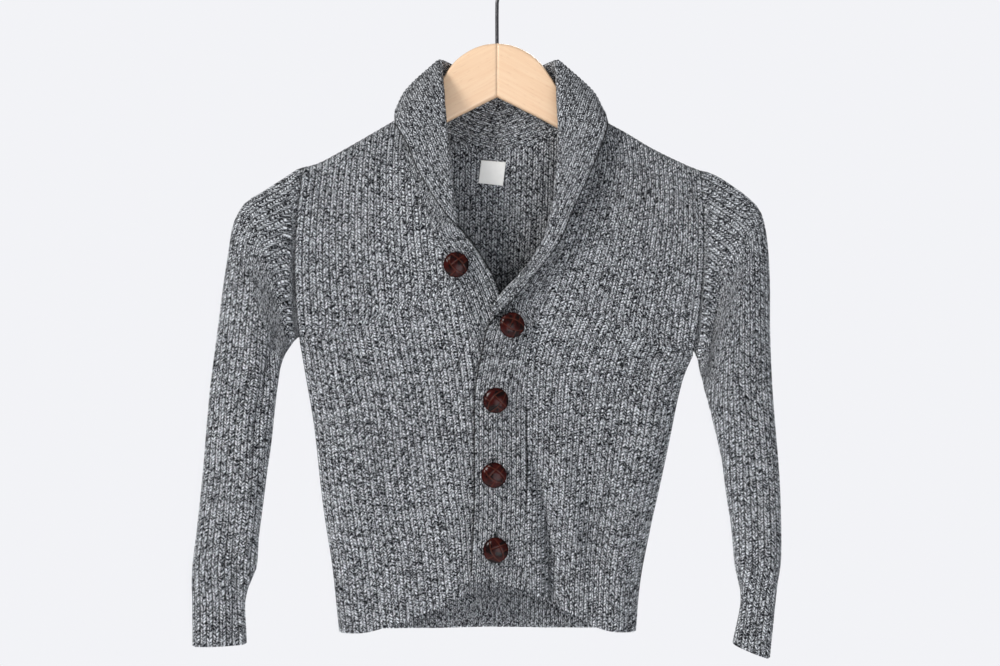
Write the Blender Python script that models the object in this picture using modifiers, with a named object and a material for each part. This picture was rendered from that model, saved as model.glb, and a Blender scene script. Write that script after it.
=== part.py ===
"""Shawl collar cardigan on a two-piece wooden hanger, in metres.

+X is the viewer's right, -Y is the front and +Z is up.  The origin is the inside top of the
hanger's hook, where a rail or a wall hook holds the whole thing.  Sides are named for the
wearer, so the "right" pieces lie at -X.  Tables and named sizes are in millimetres.
"""

from math import cos, hypot, pi, radians, sin, sqrt

import bmesh
import bpy
from mathutils import Vector

MM = 0.001

# Cloth
WALL = 2.5               # knit wall thickness
SEAM_GAP = 0.6           # clear gap between two panels at a seam
COLLAR_GAP = 1.2         # the same between the collar and the body, which meet at an angle
OVER_HANGER = 8.4        # radius that the shoulders take as they pass over the hanger arms
SIDE_ROUND = 26.0        # width in which the body rounds away to a side seam
SHOULDER_FALL = 95.0     # height in which the body reaches its full depth below the shoulder
BODY_HALF = 165.0        # half the width of the body at the underarms
FRONT_PLANE = (-29.0, 5.0)   # the fronts hang at this y in the middle, and this much less at the sides
BACK_PLANE = (9.5, 9.0)      # the same for the back
BODY_Y = -11.0           # the side seams hang here
BODY_DROP = (200.0, 150.0)   # the body leaves the arms' curve from this depth, over this height
UNDERARM_LIFT = 3.0      # the sleeve's seam passes this far above the top of the side seam
OVERLAP_RISE = 3.7       # the left front laps over the right one by this much
OVERLAP_START = 25.0     # it laps fully up to this far from the middle
OVERLAP_REACH = 70.0     # and is level with the right front again this much further out
OVERLAP_TOP = (180.0, 90.0)  # the lap begins at this depth and is full this much lower down
FOLD_RADIUS = 3.0        # middle of the cloth where the collar folds over
FALL_BOW = 0.085         # the folded collar bows out by this share of its fall
FALL_FULLEST = 0.62      # and most at this share of the way down to its free edge
SEAM_RUN = 1.5           # the collar leaves its seam in line with the panel for this far
SEAM_STEP = 3.0          # the panel's slope beside a seam is taken over this much

# Hanger
ARM_THICK = 11.0
ARM_REACH = 215.0
ARM_BOW = 20.0           # the tips of the arms come forward by this much
ARM_ROUND = 3.5
WIRE = 3.0
HOOK_INSIDE = 20.0       # inside radius of the hook
HOOK_BORE = 3.6
HOOK_DEPTH = 22.0        # how far the hook's shank goes down into the wood
CROWN_Z = -95.0          # top of the wood at the mitre joint

# Buttons
BUTTON_R = 10.8
BUTTON_H = 7.0
SHANK_R = 1.6
SLIT_WIDTH = 3.9
SLIT_LENGTH = 18.0
BAND_CLEAR = 0.5         # gap between a button's rim and the band that it holds
TILT_LIFT = 5.4          # the tilted button stands out this much more, on the collar's rise
RIM_ROUND = 2.2          # the button's rim: this much of its height is below its widest place
RIM_EDGE = (0.6, 0.7)    # where the rim's underside is rounded: in from the edge, up from below
BARE_SHANK = 1.0         # shank that shows where a button isn't pushed through a slit
SLIT_REACH = (4.0, 0.55) # a slit's cutter passes this far in front of the left band and behind it

# Side seams, from the hem up to the underarm: x, z
SIDE_SEAM = {
    "right": [(-133.5, -597.2), (-139.4, -539), (-146.2, -494), (-154.7, -424), (-161.5, -384), (-167.5, -348)],
    "left": [(117.0, -596.5), (121.2, -552), (128.4, -513), (143.7, -443), (156.4, -384), (166.5, -360)],
}
# Shoulder seams, from the armhole to the neck: x, z
SHOULDER = {
    "right": [(-164.5, -203), (-152, -199.5), (-132.6, -189), (-95.2, -167), (-75.7, -155.4)],
    "left": [(173, -206), (160.7, -201), (131.8, -186.5), (109.7, -173), (93.5, -164), (77.4, -155.4)],
}
ARMHOLE_BOW = 5.0        # the armhole seam curves out by this much between its ends
# Hems, from the side seam to the front band: x, z
HEM = {
    "right": [(-133.5, -597.2), (-110, -595.7), (-87.6, -588.9), (-58.7, -577.8), (-32.3, -565.9), (-19.6, -553)],
    "left": [(117.0, -596.5), (97.8, -594.8), (83.3, -590.6), (68.8, -582.1), (53.5, -574.4), (25.5, -559.1)],
}
BACK_HEM = [(-133.5, -597.2), (-60, -596), (30, -595.5), (117.0, -596.5)]

# Collar and front band, from the hem up to the shoulder seam.  The roll and the free edge rise
# in front of the right front's surface by their third number.
# seam x, z | roll x, z, rise | edge x, z, rise | fold 0 flat to 1 folded | out, degrees
FRONT_BAND = {
    "right": [
        ((-19.6, -553), (22, -546, 0), (22, -546, 0), 0, 0),
        ((-19.6, -495), (22, -495, 0), (22, -495, 0), 0, 0),
        ((-19.6, -434), (22, -434, 0), (22, -434, 0), 0, 0),
        ((-19.6, -383), (21.3, -383, 0), (21.3, -383, 0), 0, 0),
        ((-21.3, -349.2), (15.3, -347.5, 0), (15.3, -347.5, 0), 0, 0),
        ((-25.5, -327.9), (6.8, -322, 0), (6.8, -322, 0), 0, 0),
        ((-30.6, -314.5), (1.7, -307.5, 0), (1.7, -307.5, 0), 0, 0),
        ((-36.5, -299.5), (-5.1, -292.2, 0), (-5.1, -292.2, 0), 0, 0),
        ((-45, -281), (-17.9, -271.8, 1), (-17.9, -271.8, 1), 0, 0),
        ((-53.5, -262.5), (-29.8, -256.5, 3), (-29.8, -256.5, 3), 0, 0),
        ((-59.5, -247.5), (-34.9, -240.4, 6), (-41.5, -243.8, 9), 1, 0),
        ((-68, -229), (-37.4, -222, 8), (-53.6, -226.8, 10), 1, 0),
        ((-78.2, -205), (-40, -194, 9), (-67.2, -203, 11), 1, 0),
        ((-81.6, -187.7), (-43.4, -166.4, 9), (-76, -182, 11), 1, 12),
        ((-79.9, -172.5), (-45.9, -138.4, 8), (-85, -166.5, 12), 1, 40),
    ],
    "left": [
        ((25.5, -559.1), (-21.3, -546.4, 3.7), (-21.3, -546.4, 3.7), 0, 0),
        ((25.5, -485.2), (-18.7, -485.2, 3.7), (-18.7, -485.2, 3.7), 0, 0),
        ((25.5, -434.2), (-18.7, -434.2, 3.7), (-18.7, -434.2, 3.7), 0, 0),
        ((25.5, -391.7), (-17.9, -391.7, 3.9), (-17.9, -391.7, 3.9), 0, 0),
        ((27.2, -361.9), (-11.9, -357.7, 4.5), (-11.9, -357.7, 4.5), 0, 0),
        ((31.5, -344.9), (-6.8, -337.3, 6), (-6.8, -337.3, 6), 0, 0),
        ((36.6, -330.5), (-4.3, -324.5, 8), (1.7, -326.2, 11), 1, 0),
        ((42.5, -315), (3.4, -310.9, 10), (11.9, -316, 13), 1, 0),
        ((51, -291.5), (20.4, -293.1, 12), (34, -290.5, 15), 1, 0),
        ((59.5, -266.5), (39.1, -265.9, 13), (51.9, -266.7, 16), 1, 0),
        ((68, -241.5), (47.6, -236.1, 13), (64.6, -237, 16), 1, 0),
        ((77.4, -212), (51, -204.7, 11), (78.2, -208.1, 15), 1, 0),
        ((82.5, -187.7), (52.7, -174.9, 10), (88.4, -182.5, 14), 1, 15),
        ((80.8, -171), (51.9, -147.4, 8), (93.5, -166.5, 13), 1, 40),
    ],
}
# Collar behind the shoulder seam, from the seam to the middle of the back: x, z | x, y, z | x, y, z
BACK_COLLAR = {
    "right": [
        ((-75.7, -155.4), (-48.6, -3, -111.4), (-87, -5, -154), 1, 80),
        ((-64, -161.5), (-44, 8, -110.2), (-83, 16.5, -161), 1, 125),
        ((-44, -175.5), (-31.5, 15, -116), (-54, 24.5, -176), 1, 155),
        ((-22, -183.5), (-15, 16.5, -123), (-26, 26.5, -184), 1, 170),
        ((0, -186), (0, 17, -127), (0, 27, -187), 1, 180),
    ],
    "left": [
        ((77.4, -155.4), (51.4, -3, -111.8), (91.5, -5, -155), 1, 80),
        ((66, -161.5), (46, 8, -110.6), (86, 16.5, -161), 1, 125),
        ((45, -175.5), (33.2, 15, -116), (55.3, 24.5, -176), 1, 155),
        ((22, -183.5), (15, 16.5, -123), (26, 26.5, -184), 1, 170),
        ((0, -186), (0, 17, -127), (0, 27, -187), 1, 180),
    ],
}
BAND_FRACTIONS = (0.0, 0.035, 0.24, 0.45, 0.64, 0.78, 0.84, 0.89, 0.93, 0.96, 1.0)

# Sleeves, from just outside the armhole to the cuff:
# outer x, z | inner x, z | half depth | y | squareness
SLEEVE = {
    "right": [
        ((-181, -213), (-171.8, -347.4), 13, -14, 0.6),
        ((-198, -224), (-174.6, -350.6), 14, -16.5, 0.55),
        ((-213, -233.5), (-177.6, -355), 15, -18.5, 0.55),
        ((-222.5, -250), (-181.2, -361), 16, -19, 0.65),
        ((-227, -275), (-184.7, -371), 16.5, -19, 0.8),
        ((-231.5, -306.7), (-187.3, -386), 16.5, -18.5, 0.9),
        ((-236, -342), (-189.9, -408), 16, -18, 0.9),
        ((-243.5, -398), (-193.4, -440), 15.5, -18, 0.9),
        ((-248.7, -462), (-199, -479), 15, -18, 0.9),
        ((-253.6, -508), (-203.7, -516), 14, -18, 0.9),
        ((-257.6, -540), (-205.6, -543), 13, -18, 0.9),
        ((-258.2, -556), (-211, -557), 11.5, -18, 0.9),
        ((-257.6, -572), (-214.6, -571), 10.5, -18, 0.9),
        ((-257.4, -608.4), (-214.3, -606.5), 10.5, -18, 0.9),
    ],
    "left": [
        ((187.5, -211.5), (169.6, -360.6), 13, -14.5, 0.6),
        ((201, -221), (171.2, -365), 14, -17, 0.55),
        ((213, -230.5), (172.4, -371), 15, -18.5, 0.55),
        ((222, -241), (174, -379), 16, -19, 0.65),
        ((227, -262), (177, -390), 16.5, -19, 0.8),
        ((229.6, -300), (181.2, -404), 16.5, -18.5, 0.9),
        ((230.3, -338), (186.3, -424), 16, -18, 0.9),
        ((233, -395), (192.3, -450), 15.5, -18, 0.9),
        ((238, -465), (196.6, -482), 15, -18, 0.9),
        ((239.7, -507), (201, -513), 15, -18, 0.9),
        ((239.5, -538), (204.2, -543), 15, -18, 0.9),
        ((236.6, -556), (208.3, -560), 14.5, -18, 0.9),
        ((234.6, -573), (208.8, -574), 14, -18, 0.9),
        ((230.4, -618.6), (201.5, -606.7), 13.5, -18, 0.9),
    ],
}
SLEEVE_POINTS = 20

# Buttons on the right band, top to bottom: x, z, turn about Z in degrees, slit's rise, under the left band
BUTTONS = [
    (-34.5, -285.5, 0, 0, False),
    (10.0, -336.5, 14, 1, True),
    (-1.0, -400.0, 0, 1, True),
    (-2.5, -463.0, 0, 1, True),
    (-1.0, -526.0, 0, 6.5, True),
]
LABEL = [(-13.6, -194.4), (7.7, -196.1), (5.1, -216.5), (-16.1, -214)]
LABEL_THICK = 0.8
LABEL_GAP = 0.35         # between the label and the back that it is sewn to

# Hanger arm: x, top z, bottom z
ARM = [
    (0, -95, -141), (12, -96.6, -147), (24, -101.5, -153), (36, -110.5, -159), (46, -124, -164.5),
    (60, -144.5, -172.5), (77, -162, -183), (97, -172.5, -196), (133, -193.8, -216), (160, -207.8, -231),
    (190, -223.5, -247), (204, -232, -255), (212, -239, -256), (215, -246, -252),
]

KNIT = ("knit", (0.21, 0.22, 0.235), 0.95, 0.0)
BEECH = ("wood", (0.86, 0.62, 0.42), 0.45, 0.0)
STEEL = ("metal", (0.16, 0.16, 0.17), 0.35, 1.0)
LEATHER = ("leather", (0.09, 0.02, 0.015), 0.3, 0.0)
TAPE = ("label", (0.75, 0.74, 0.71), 0.8, 0.0)


# ---------------------------------------------------------------- small tools

def clear_scene():
    for thing in list(bpy.data.objects):
        bpy.data.objects.remove(thing, do_unlink=True)


def material(recipe):
    name, colour, roughness, metallic = recipe
    made = bpy.data.materials.get(name)
    if made is None:
        made = bpy.data.materials.new(name)
        made.use_nodes = True
        shader = made.node_tree.nodes["Principled BSDF"]
        shader.inputs["Base Color"].default_value = (*colour, 1.0)
        shader.inputs["Roughness"].default_value = roughness
        shader.inputs["Metallic"].default_value = metallic
    return made


def collection(name):
    made = bpy.data.collections.get(name)
    if made is None:
        made = bpy.data.collections.new(name)
        bpy.context.scene.collection.children.link(made)
    return made


def mesh_object(name, points, faces, recipe, home="cardigan"):
    mesh = bpy.data.meshes.new(name)
    mesh.from_pydata([Vector(p) * MM for p in points], [], faces)
    mesh.update()
    thing = bpy.data.objects.new(name, mesh)
    mesh.materials.append(material(recipe))
    collection(home).objects.link(thing)
    return thing


def smoothstep(t):
    t = min(max(t, 0.0), 1.0)
    return t * t * (3.0 - 2.0 * t)


def quarter_round(t):
    t = min(max(t, 0.0), 1.0)
    return sqrt(1.0 - (1.0 - t) ** 2)


def mix(a, b, t):
    return tuple(p + (q - p) * t for p, q in zip(a, b))


def spline(points):
    """A smooth curve through the points, as a function of 0 to 1 along its chords."""
    marks = [0.0]
    for a, b in zip(points, points[1:]):
        marks.append(marks[-1] + max(sqrt(sum((p - q) ** 2 for p, q in zip(a, b))), 1e-9))
    last = len(points) - 1

    def slope(i):
        low, high = max(i - 1, 0), min(i + 1, last)
        run = marks[high] - marks[low]
        return tuple((q - p) / run for p, q in zip(points[low], points[high]))

    def at(t):
        s = min(max(t, 0.0), 1.0) * marks[-1]
        i = next((k for k in range(last) if s <= marks[k + 1]), last - 1)
        run = marks[i + 1] - marks[i]
        u = (s - marks[i]) / run
        near, far = 2 * u ** 3 - 3 * u ** 2 + 1, 3 * u ** 2 - 2 * u ** 3
        leave, arrive = (u ** 3 - 2 * u ** 2 + u) * run, (u ** 3 - u ** 2) * run
        parts = zip(points[i], slope(i), points[i + 1], slope(i + 1))
        return tuple(near * a + leave * m + far * b + arrive * n for a, m, b, n in parts)

    return at


def polyline(curve, steps):
    return [curve(k / steps) for k in range(steps + 1)]


def distance(x, z, path):
    """How far (x, z) is from a path in the XZ plane."""
    best = 1e9
    for (ax, az), (bx, bz) in zip(path, path[1:]):
        dx, dz = bx - ax, bz - az
        t = ((x - ax) * dx + (z - az) * dz) / (dx * dx + dz * dz)
        t = min(max(t, 0.0), 1.0)
        best = min(best, hypot(x - ax - t * dx, z - az - t * dz))
    return best


def grid_faces(columns, rows, flip):
    faces = []
    for r in range(rows - 1):
        for c in range(columns - 1):
            a = r * columns + c
            quad = (a, a + 1, a + columns + 1, a + columns)
            faces.append(quad[::-1] if flip else quad)
    return faces


def add_wall(thing, thick=WALL):
    wall = thing.modifiers.new("wall", "SOLIDIFY")
    wall.thickness = thick * MM
    wall.offset = 0.0
    wall.use_rim = True


# ---------------------------------------------------------------- the garment's surface

def arm_y(x):
    return -ARM_BOW * (x / ARM_REACH) ** 2


SIDE_PATHS = {side: polyline(spline(rows), 20) for side, rows in SIDE_SEAM.items()}
SHOULDER_PATHS = {side: polyline(spline(rows), 16) for side, rows in SHOULDER.items()}


def middle_y(x, z):
    start, run = BODY_DROP
    fall = smoothstep((-z - start) / run)
    return arm_y(x) * (1.0 - fall) + BODY_Y * fall


def depth(x, z, plane, seam, edge):
    """How far a panel stands away from the plane of the side seams at (x, z).

    seam and edge are its distances from the shoulder and side seams, where they are known.
    """
    if seam is None:
        seam = min(distance(x, z, path) for path in SHOULDER_PATHS.values())
    if edge is None:
        edge = min(distance(x, z, path) for path in SIDE_PATHS.values())
    middle, bow = plane
    fullest = abs(middle - bow * (x / BODY_HALF) ** 2 * (1 if middle > 0 else -1) - middle_y(x, z))
    top = OVER_HANGER * quarter_round(seam / OVER_HANGER)
    top += (fullest - OVER_HANGER) * smoothstep(seam / SHOULDER_FALL)
    return top * quarter_round(edge / SIDE_ROUND)


def front_y(x, z, seam=None, edge=None):
    return middle_y(x, z) - SEAM_GAP / 2 - depth(x, z, FRONT_PLANE, seam, edge)


def back_y(x, z, seam=None, edge=None):
    return middle_y(x, z) + SEAM_GAP / 2 + depth(x, z, BACK_PLANE, seam, edge)


def overlap_rise(side, x, z):
    """The left front lies over the right band, up to where the fronts part at the collar."""
    if side == "right":
        return 0.0
    start, run = OVERLAP_TOP
    near = 1.0 - smoothstep((x - OVERLAP_START) / OVERLAP_REACH)
    return OVERLAP_RISE * near * smoothstep((-z - start) / run)


def panel_point(face, side, x, z, seam=None, edge=None):
    if face == "back":
        return (x, back_y(x, z, seam, edge), z)
    return (x, front_y(x, z, seam, edge) - overlap_rise(side, x, z), z)


def armhole(side, t):
    """The armhole seam in the XZ plane, from the shoulder at 0 to the underarm at 1."""
    top, bottom = SHOULDER[side][0], SIDE_SEAM[side][-1]
    outward = -1.0 if side == "right" else 1.0
    x, z = mix(top, bottom, t)
    return (x + outward * ARMHOLE_BOW * sin(pi * t), z)


def side_edge(side, v, underarm):
    """A panel's outer edge, from the hem at 0 over the underarm to the shoulder at 1."""
    if v <= underarm:
        return spline(SIDE_SEAM[side])(v / underarm)
    return armhole(side, (1.0 - v) / (1.0 - underarm))


ROUND_ANGLES = (0, 8, 34, 62, 90)
UNDERARM = 0.62          # share of a panel's height that is below the underarm
PANEL_HEIGHT = 400.0


def round_steps(radius):
    return [radius * (1.0 - cos(radians(a))) for a in ROUND_ANGLES]


def panel_rows(below=8, above=5):
    """The rows of a panel: 0 at the hem to 1 at the shoulder, and the shoulder seam's distance."""
    steps = round_steps(OVER_HANGER)
    last = 1.0 - steps[-1] / PANEL_HEIGHT
    low = [(UNDERARM * k / below, None) for k in range(below)]
    low += [(UNDERARM + step / PANEL_HEIGHT, None) for step in round_steps(SIDE_ROUND)]
    start = low[-1][0]
    high = [(start + (last - start) * k / above, None) for k in range(1, above)]
    return low + high + [(1.0 - step / PANEL_HEIGHT, step) for step in steps[::-1]]


def coons(u, v, left, right, low, high):
    """A point in the XZ plane between four edges, each a function of 0 to 1."""
    across = mix(left(v), right(v), u)
    along = mix(low(u), high(u), v)
    corners = mix(mix(left(0), right(0), u), mix(left(1), right(1), u), v)
    return tuple(a + b - c for a, b, c in zip(across, along, corners))


def edge_distance(v, number, steps):
    """A column's distance from the side seam, where the columns follow its round."""
    return steps[number] if v <= UNDERARM and number < len(steps) else None


def front_panel(side, name, columns=6):
    outer = lambda v: side_edge(side, v, UNDERARM)
    seam = [row[0] for row in FRONT_BAND[side]] + [BACK_COLLAR[side][0][0]]
    inner = spline(seam)
    hem = spline(HEM[side])
    top = spline(SHOULDER[side])
    points = []
    rows = panel_rows()
    steps = round_steps(SIDE_ROUND)
    for v, shoulder in rows:
        width = hypot(*(a - b for a, b in zip(outer(v), inner(v))))
        near = [step / width for step in steps]
        rest = [near[-1] + (1.0 - near[-1]) * (k + 1) / columns for k in range(columns)]
        for number, u in enumerate(near + rest):
            x, z = coons(u, v, outer, inner, hem, top)
            edge = edge_distance(v, number, steps)
            points.append(panel_point("front", side, x, z, shoulder, edge))
    count = len(steps) + columns
    faces = grid_faces(count, len(rows), flip=side == "left")
    thing = mesh_object(name, points, faces, KNIT)
    add_wall(thing)
    return thing


def back_top():
    """The back's upper edge: a shoulder seam, the neck and the other shoulder seam, 0 to 1."""
    right, left = SHOULDER["right"], SHOULDER["left"]
    neck = [row[0] for row in BACK_COLLAR["right"]] + [row[0] for row in BACK_COLLAR["left"][-2::-1]]
    pieces = (spline(right), spline(neck), spline(left[::-1]))
    width = left[0][0] - right[0][0]
    starts = (0.0, (neck[0][0] - right[0][0]) / width, (neck[-1][0] - right[0][0]) / width, 1.0)

    def at(u):
        piece = 0 if u <= starts[1] else 1 if u <= starts[2] else 2
        return pieces[piece]((u - starts[piece]) / (starts[piece + 1] - starts[piece]))

    return at, starts


NECK_STEPS = (0.4, 3.4, 9.0)   # the back leaves the shoulder point behind the arm this fast


def neck_columns(start, end, width, parts=6):
    near = [start + step / width for step in NECK_STEPS]
    far = [end - step / width for step in NECK_STEPS[::-1]]
    middle = [near[-1] + (far[0] - near[-1]) * k / parts for k in range(1, parts)]
    return near + middle + far + [end]


def back_panel(shoulder_columns=3):
    right = lambda v: side_edge("right", v, UNDERARM)
    left = lambda v: side_edge("left", v, UNDERARM)
    hem = spline(BACK_HEM)
    top, starts = back_top()
    points = []
    rows = panel_rows()
    steps = round_steps(SIDE_ROUND)
    for v, shoulder in rows:
        width = hypot(*(a - b for a, b in zip(right(v), left(v))))
        near = [step / width for step in steps]
        across = list(near)
        run = (starts[1] - near[-1]) / shoulder_columns
        across += [near[-1] + run * (k + 1) for k in range(shoulder_columns)]
        across += neck_columns(starts[1], starts[2], width)
        across += [starts[2] + run * (k + 1) for k in range(shoulder_columns)]
        across += [1.0 - u for u in near[-2::-1]]
        for number, u in enumerate(across):
            x, z = coons(u, v, right, left, hem, top)
            edge = edge_distance(v, min(number, len(across) - 1 - number), steps)
            at_neck = starts[1] < u < starts[2]
            points.append(panel_point("back", None, x, z, None if at_neck else shoulder, edge))
    faces = grid_faces(len(across), len(rows), flip=True)
    thing = mesh_object("back", points, faces, KNIT)
    add_wall(thing)
    return thing


# ---------------------------------------------------------------- collar and bands

def band_section(seam, inward, roll, edge, fold, out):
    """The collar's section from its seam, over its roll, to its free edge."""
    seam, inward, roll, edge, out = (Vector(v) for v in (seam, inward, roll, edge, out))
    start = seam + inward * SEAM_RUN
    flat = [seam + (edge - seam) * f for f in BAND_FRACTIONS]
    if fold == 0:
        return flat
    up = (roll - start).normalized()
    out = (out - up * out.dot(up)).normalized()
    radius = min(FOLD_RADIUS, 1.2 + 0.22 * (edge - roll).length)
    centre = roll - up * radius
    inner = centre - out * radius
    bent = [seam, start]
    bent += [start.lerp(inner, k / 4) for k in (1, 2, 3, 4)]
    for angle in (60, 120, 180):
        a = radians(angle)
        bent.append(centre - out * radius * cos(a) + up * radius * sin(a))
    turned = bent[-1]
    fullest = turned.lerp(edge, FALL_FULLEST) + out * FALL_BOW * (edge - turned).length
    bent += [fullest, edge]
    return [a.lerp(b, fold) for a, b in zip(flat, bent)]


def seam_inward(face, side, path, k):
    """The way from a panel into the collar at path[k]: across the seam, in the panel's surface."""
    outward = -1.0 if side == "right" else 1.0
    (ax, az), (bx, bz) = path[max(k - 1, 0)], path[min(k + 1, len(path) - 1)]
    length = hypot(bx - ax, bz - az)
    dx, dz = (bz - az) / length, -(bx - ax) / length
    if (dx * outward > 0) if face == "front" else (dz < 0):
        dx, dz = -dx, -dz
    x, z = path[k]
    seam = Vector(panel_point(face, side, x, z))
    behind = Vector(panel_point(face, side, x - dx * SEAM_STEP, z - dz * SEAM_STEP))
    return seam, (seam - behind).normalized()


def collar_rows(side):
    """The collar's rows, each with its face, seam, roll, edge, fold and turn."""
    rows = []
    for seam, roll, edge, fold, turn in FRONT_BAND[side]:
        lifted = [(x, front_y(x, z) - rise, z) for x, z, rise in (roll, edge)]
        rows.append((seam, *(Vector(p) for p in lifted), fold, turn))
    for seam, roll, edge, fold, turn in BACK_COLLAR[side]:
        rows.append((seam, Vector(roll), Vector(edge), fold, turn))
    return rows


SHOULDER_STEPS = [0.4, 0.7, 0.9]    # close to the shoulder the seam rounds over the arm


def collar_stations(side):
    """Every section of one half of the collar, from the hem to the middle of the back."""
    outward = -1.0 if side == "right" else 1.0
    rows = collar_rows(side)
    at_shoulder = len(FRONT_BAND[side])
    places = []
    for k in range(len(rows) - 1):
        steps = [0.0]
        if k == at_shoulder - 1:
            steps += SHOULDER_STEPS
        elif k == at_shoulder:
            steps += [1.0 - step for step in SHOULDER_STEPS[::-1]]
        places += [(k, step) for step in steps]
    places.append((len(rows) - 1, 0.0))
    seams = [row[0] for row in rows]
    front = spline(seams[:at_shoulder + 1])
    back = spline(seams[at_shoulder:])
    path = {"front": [], "back": []}
    for k, step in places:
        if k < at_shoulder:
            path["front"].append(front(chord_share(seams[:at_shoulder + 1], k, step)))
        else:
            path["back"].append(back(chord_share(seams[at_shoulder:], k - at_shoulder, step)))
    path["front"].append(seams[at_shoulder])
    stations = []
    for number, (k, step) in enumerate(places):
        face = "front" if k < at_shoulder else "back"
        index = number if face == "front" else number - (len(path["front"]) - 1)
        if k == at_shoulder and step == 0.0:
            x, z = seams[k]
            near = SHOULDER_PATHS[side][-2]
            seam = Vector((x, middle_y(x, z), z))
            inward = Vector((x - near[0], 0.0, z - near[1])).normalized()
        else:
            seam, inward = seam_inward(face, side, path[face], index)
        roll = through([row[1] for row in rows], k, step)
        edge = through([row[2] for row in rows], k, step)
        after = rows[min(k + 1, len(rows) - 1)]
        fold = rows[k][3] + (after[3] - rows[k][3]) * step
        turn = radians(rows[k][4] + (after[4] - rows[k][4]) * step)
        out = (outward * sin(turn), -cos(turn), 0.0)
        seam = seam + inward * COLLAR_GAP
        stations.append(band_section(seam, inward, roll, edge, fold, out))
    last = stations.pop()
    for reach in (SEAM_RUN, SEAM_GAP / 2):
        stations.append([Vector((outward * reach, p.y, p.z)) for p in last])
    return stations


def chord_share(points, k, step):
    """Where a step on from points[k] lies, from 0 to 1 along the points' chords."""
    runs = [hypot(b[0] - a[0], b[1] - a[1]) for a, b in zip(points, points[1:])]
    here = sum(runs[:k]) + (runs[k] * step if k < len(runs) else 0.0)
    return here / sum(runs)


def collar_half(side, name):
    stations = collar_stations(side)
    points = [p for station in stations for p in station]
    faces = grid_faces(len(BAND_FRACTIONS), len(stations), flip=side == "right")
    thing = mesh_object(name, points, faces, KNIT)
    add_wall(thing)
    return thing


def through(points, low, t):
    """A smooth step of t from points[low] towards the next point."""
    if t == 0.0:
        return points[low]
    a, b = points[low], points[low + 1]
    before = points[max(low - 1, 0)]
    after = points[min(low + 2, len(points) - 1)]
    lead, follow = (b - before) * 0.5, (after - a) * 0.5
    run = (b - a).length
    lead = lead * min(1.0, run / max(lead.length, 1e-6))
    follow = follow * min(1.0, run / max(follow.length, 1e-6))
    near, far = 2 * t ** 3 - 3 * t ** 2 + 1, 3 * t ** 2 - 2 * t ** 3
    return a * near + lead * (t ** 3 - 2 * t ** 2 + t) + b * far + follow * (t ** 3 - t ** 2)


# ---------------------------------------------------------------- sleeves

def armhole_ring(side, gap):
    outward = -1.0 if side == "right" else 1.0
    ring = []
    for k in range(SLEEVE_POINTS):
        turn = 2 * pi * k / SLEEVE_POINTS
        t = (1.0 - cos(turn)) / 2
        x, z = armhole(side, t)
        if k in (0, SLEEVE_POINTS // 2):
            y = middle_y(x, z)
        else:
            y = front_y(x, z) if turn < pi else back_y(x, z)
        lift = UNDERARM_LIFT if k == SLEEVE_POINTS // 2 else 0.0
        ring.append((x + outward * gap, y, z + lift))
    return ring


def sleeve_ring(outer, inner, half_depth, y, squareness):
    """One ring; a squareness below 1 makes it blunter, as where it passes over the arm."""
    ring = []
    for k in range(SLEEVE_POINTS):
        turn = 2 * pi * k / SLEEVE_POINTS
        x, z = mix(inner, outer, (1.0 + cos(turn)) / 2)
        bulge = abs(sin(turn)) ** squareness * half_depth
        ring.append((x, y - bulge if turn < pi else y + bulge, z))
    return ring


def sleeve(side, name):
    rings = [armhole_ring(side, SEAM_GAP), armhole_ring(side, SEAM_GAP + SEAM_RUN)]
    rings += [sleeve_ring(*row) for row in SLEEVE[side]]
    points = [p for ring in rings for p in ring]
    faces = []
    for r in range(len(rings) - 1):
        for k in range(SLEEVE_POINTS):
            a = r * SLEEVE_POINTS + k
            b = r * SLEEVE_POINTS + (k + 1) % SLEEVE_POINTS
            quad = (a, b, b + SLEEVE_POINTS, a + SLEEVE_POINTS)
            faces.append(quad if side == "left" else quad[::-1])
    thing = mesh_object(name, points, faces, KNIT)
    add_wall(thing)
    return thing


# ---------------------------------------------------------------- hanger

def arm_section(x, top, bottom):
    """A rounded upright section of the arm."""
    height = top - bottom
    round_off = min(ARM_ROUND, height * 0.4)
    half = ARM_THICK / 2
    y = arm_y(x)
    ring = []
    corners = ((half, top, 0), (half, bottom, 1), (-half, bottom, 2), (-half, top, 3))
    for side_y, z, quarter in corners:
        cy = side_y - round_off * (1 if side_y > 0 else -1)
        cz = z - round_off * (1 if z == top else -1)
        for step in (0, 1, 2):
            a = radians(90 - quarter * 90 - step * 45)
            ring.append((cy + round_off * cos(a), cz + round_off * sin(a)))
    return [(x, y + py, pz) for py, pz in ring]


def hanger_arm(side, name):
    outward = -1.0 if side == "right" else 1.0
    rings = []
    for x, top, bottom in ARM:
        place = max(x, SEAM_GAP / 2)
        rings.append([(outward * px, py, pz) for px, py, pz in arm_section(place, top, bottom)])
    count = len(rings[0])
    points = [p for ring in rings for p in ring]
    faces = []
    for r in range(len(rings) - 1):
        for k in range(count):
            a, b = r * count + k, r * count + (k + 1) % count
            faces.append((a, b, b + count, a + count))
    faces.append(tuple(reversed(range(count))))
    faces.append(tuple(range(len(points) - count, len(points))))
    if outward < 0:
        faces = [face[::-1] for face in faces]
    thing = mesh_object(name, points, faces, BEECH)
    outside_in(thing)
    cut(thing, bore_cutter())
    return thing


def outside_in(thing):
    """Point every face of a closed mesh outwards."""
    mesh = bmesh.new()
    mesh.from_mesh(thing.data)
    bmesh.ops.recalc_face_normals(mesh, faces=mesh.faces)
    mesh.to_mesh(thing.data)
    mesh.free()


def cut(thing, cutter):
    boolean = thing.modifiers.new("cut", "BOOLEAN")
    boolean.operation = "DIFFERENCE"
    boolean.solver = "EXACT"
    boolean.object = cutter


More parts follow.
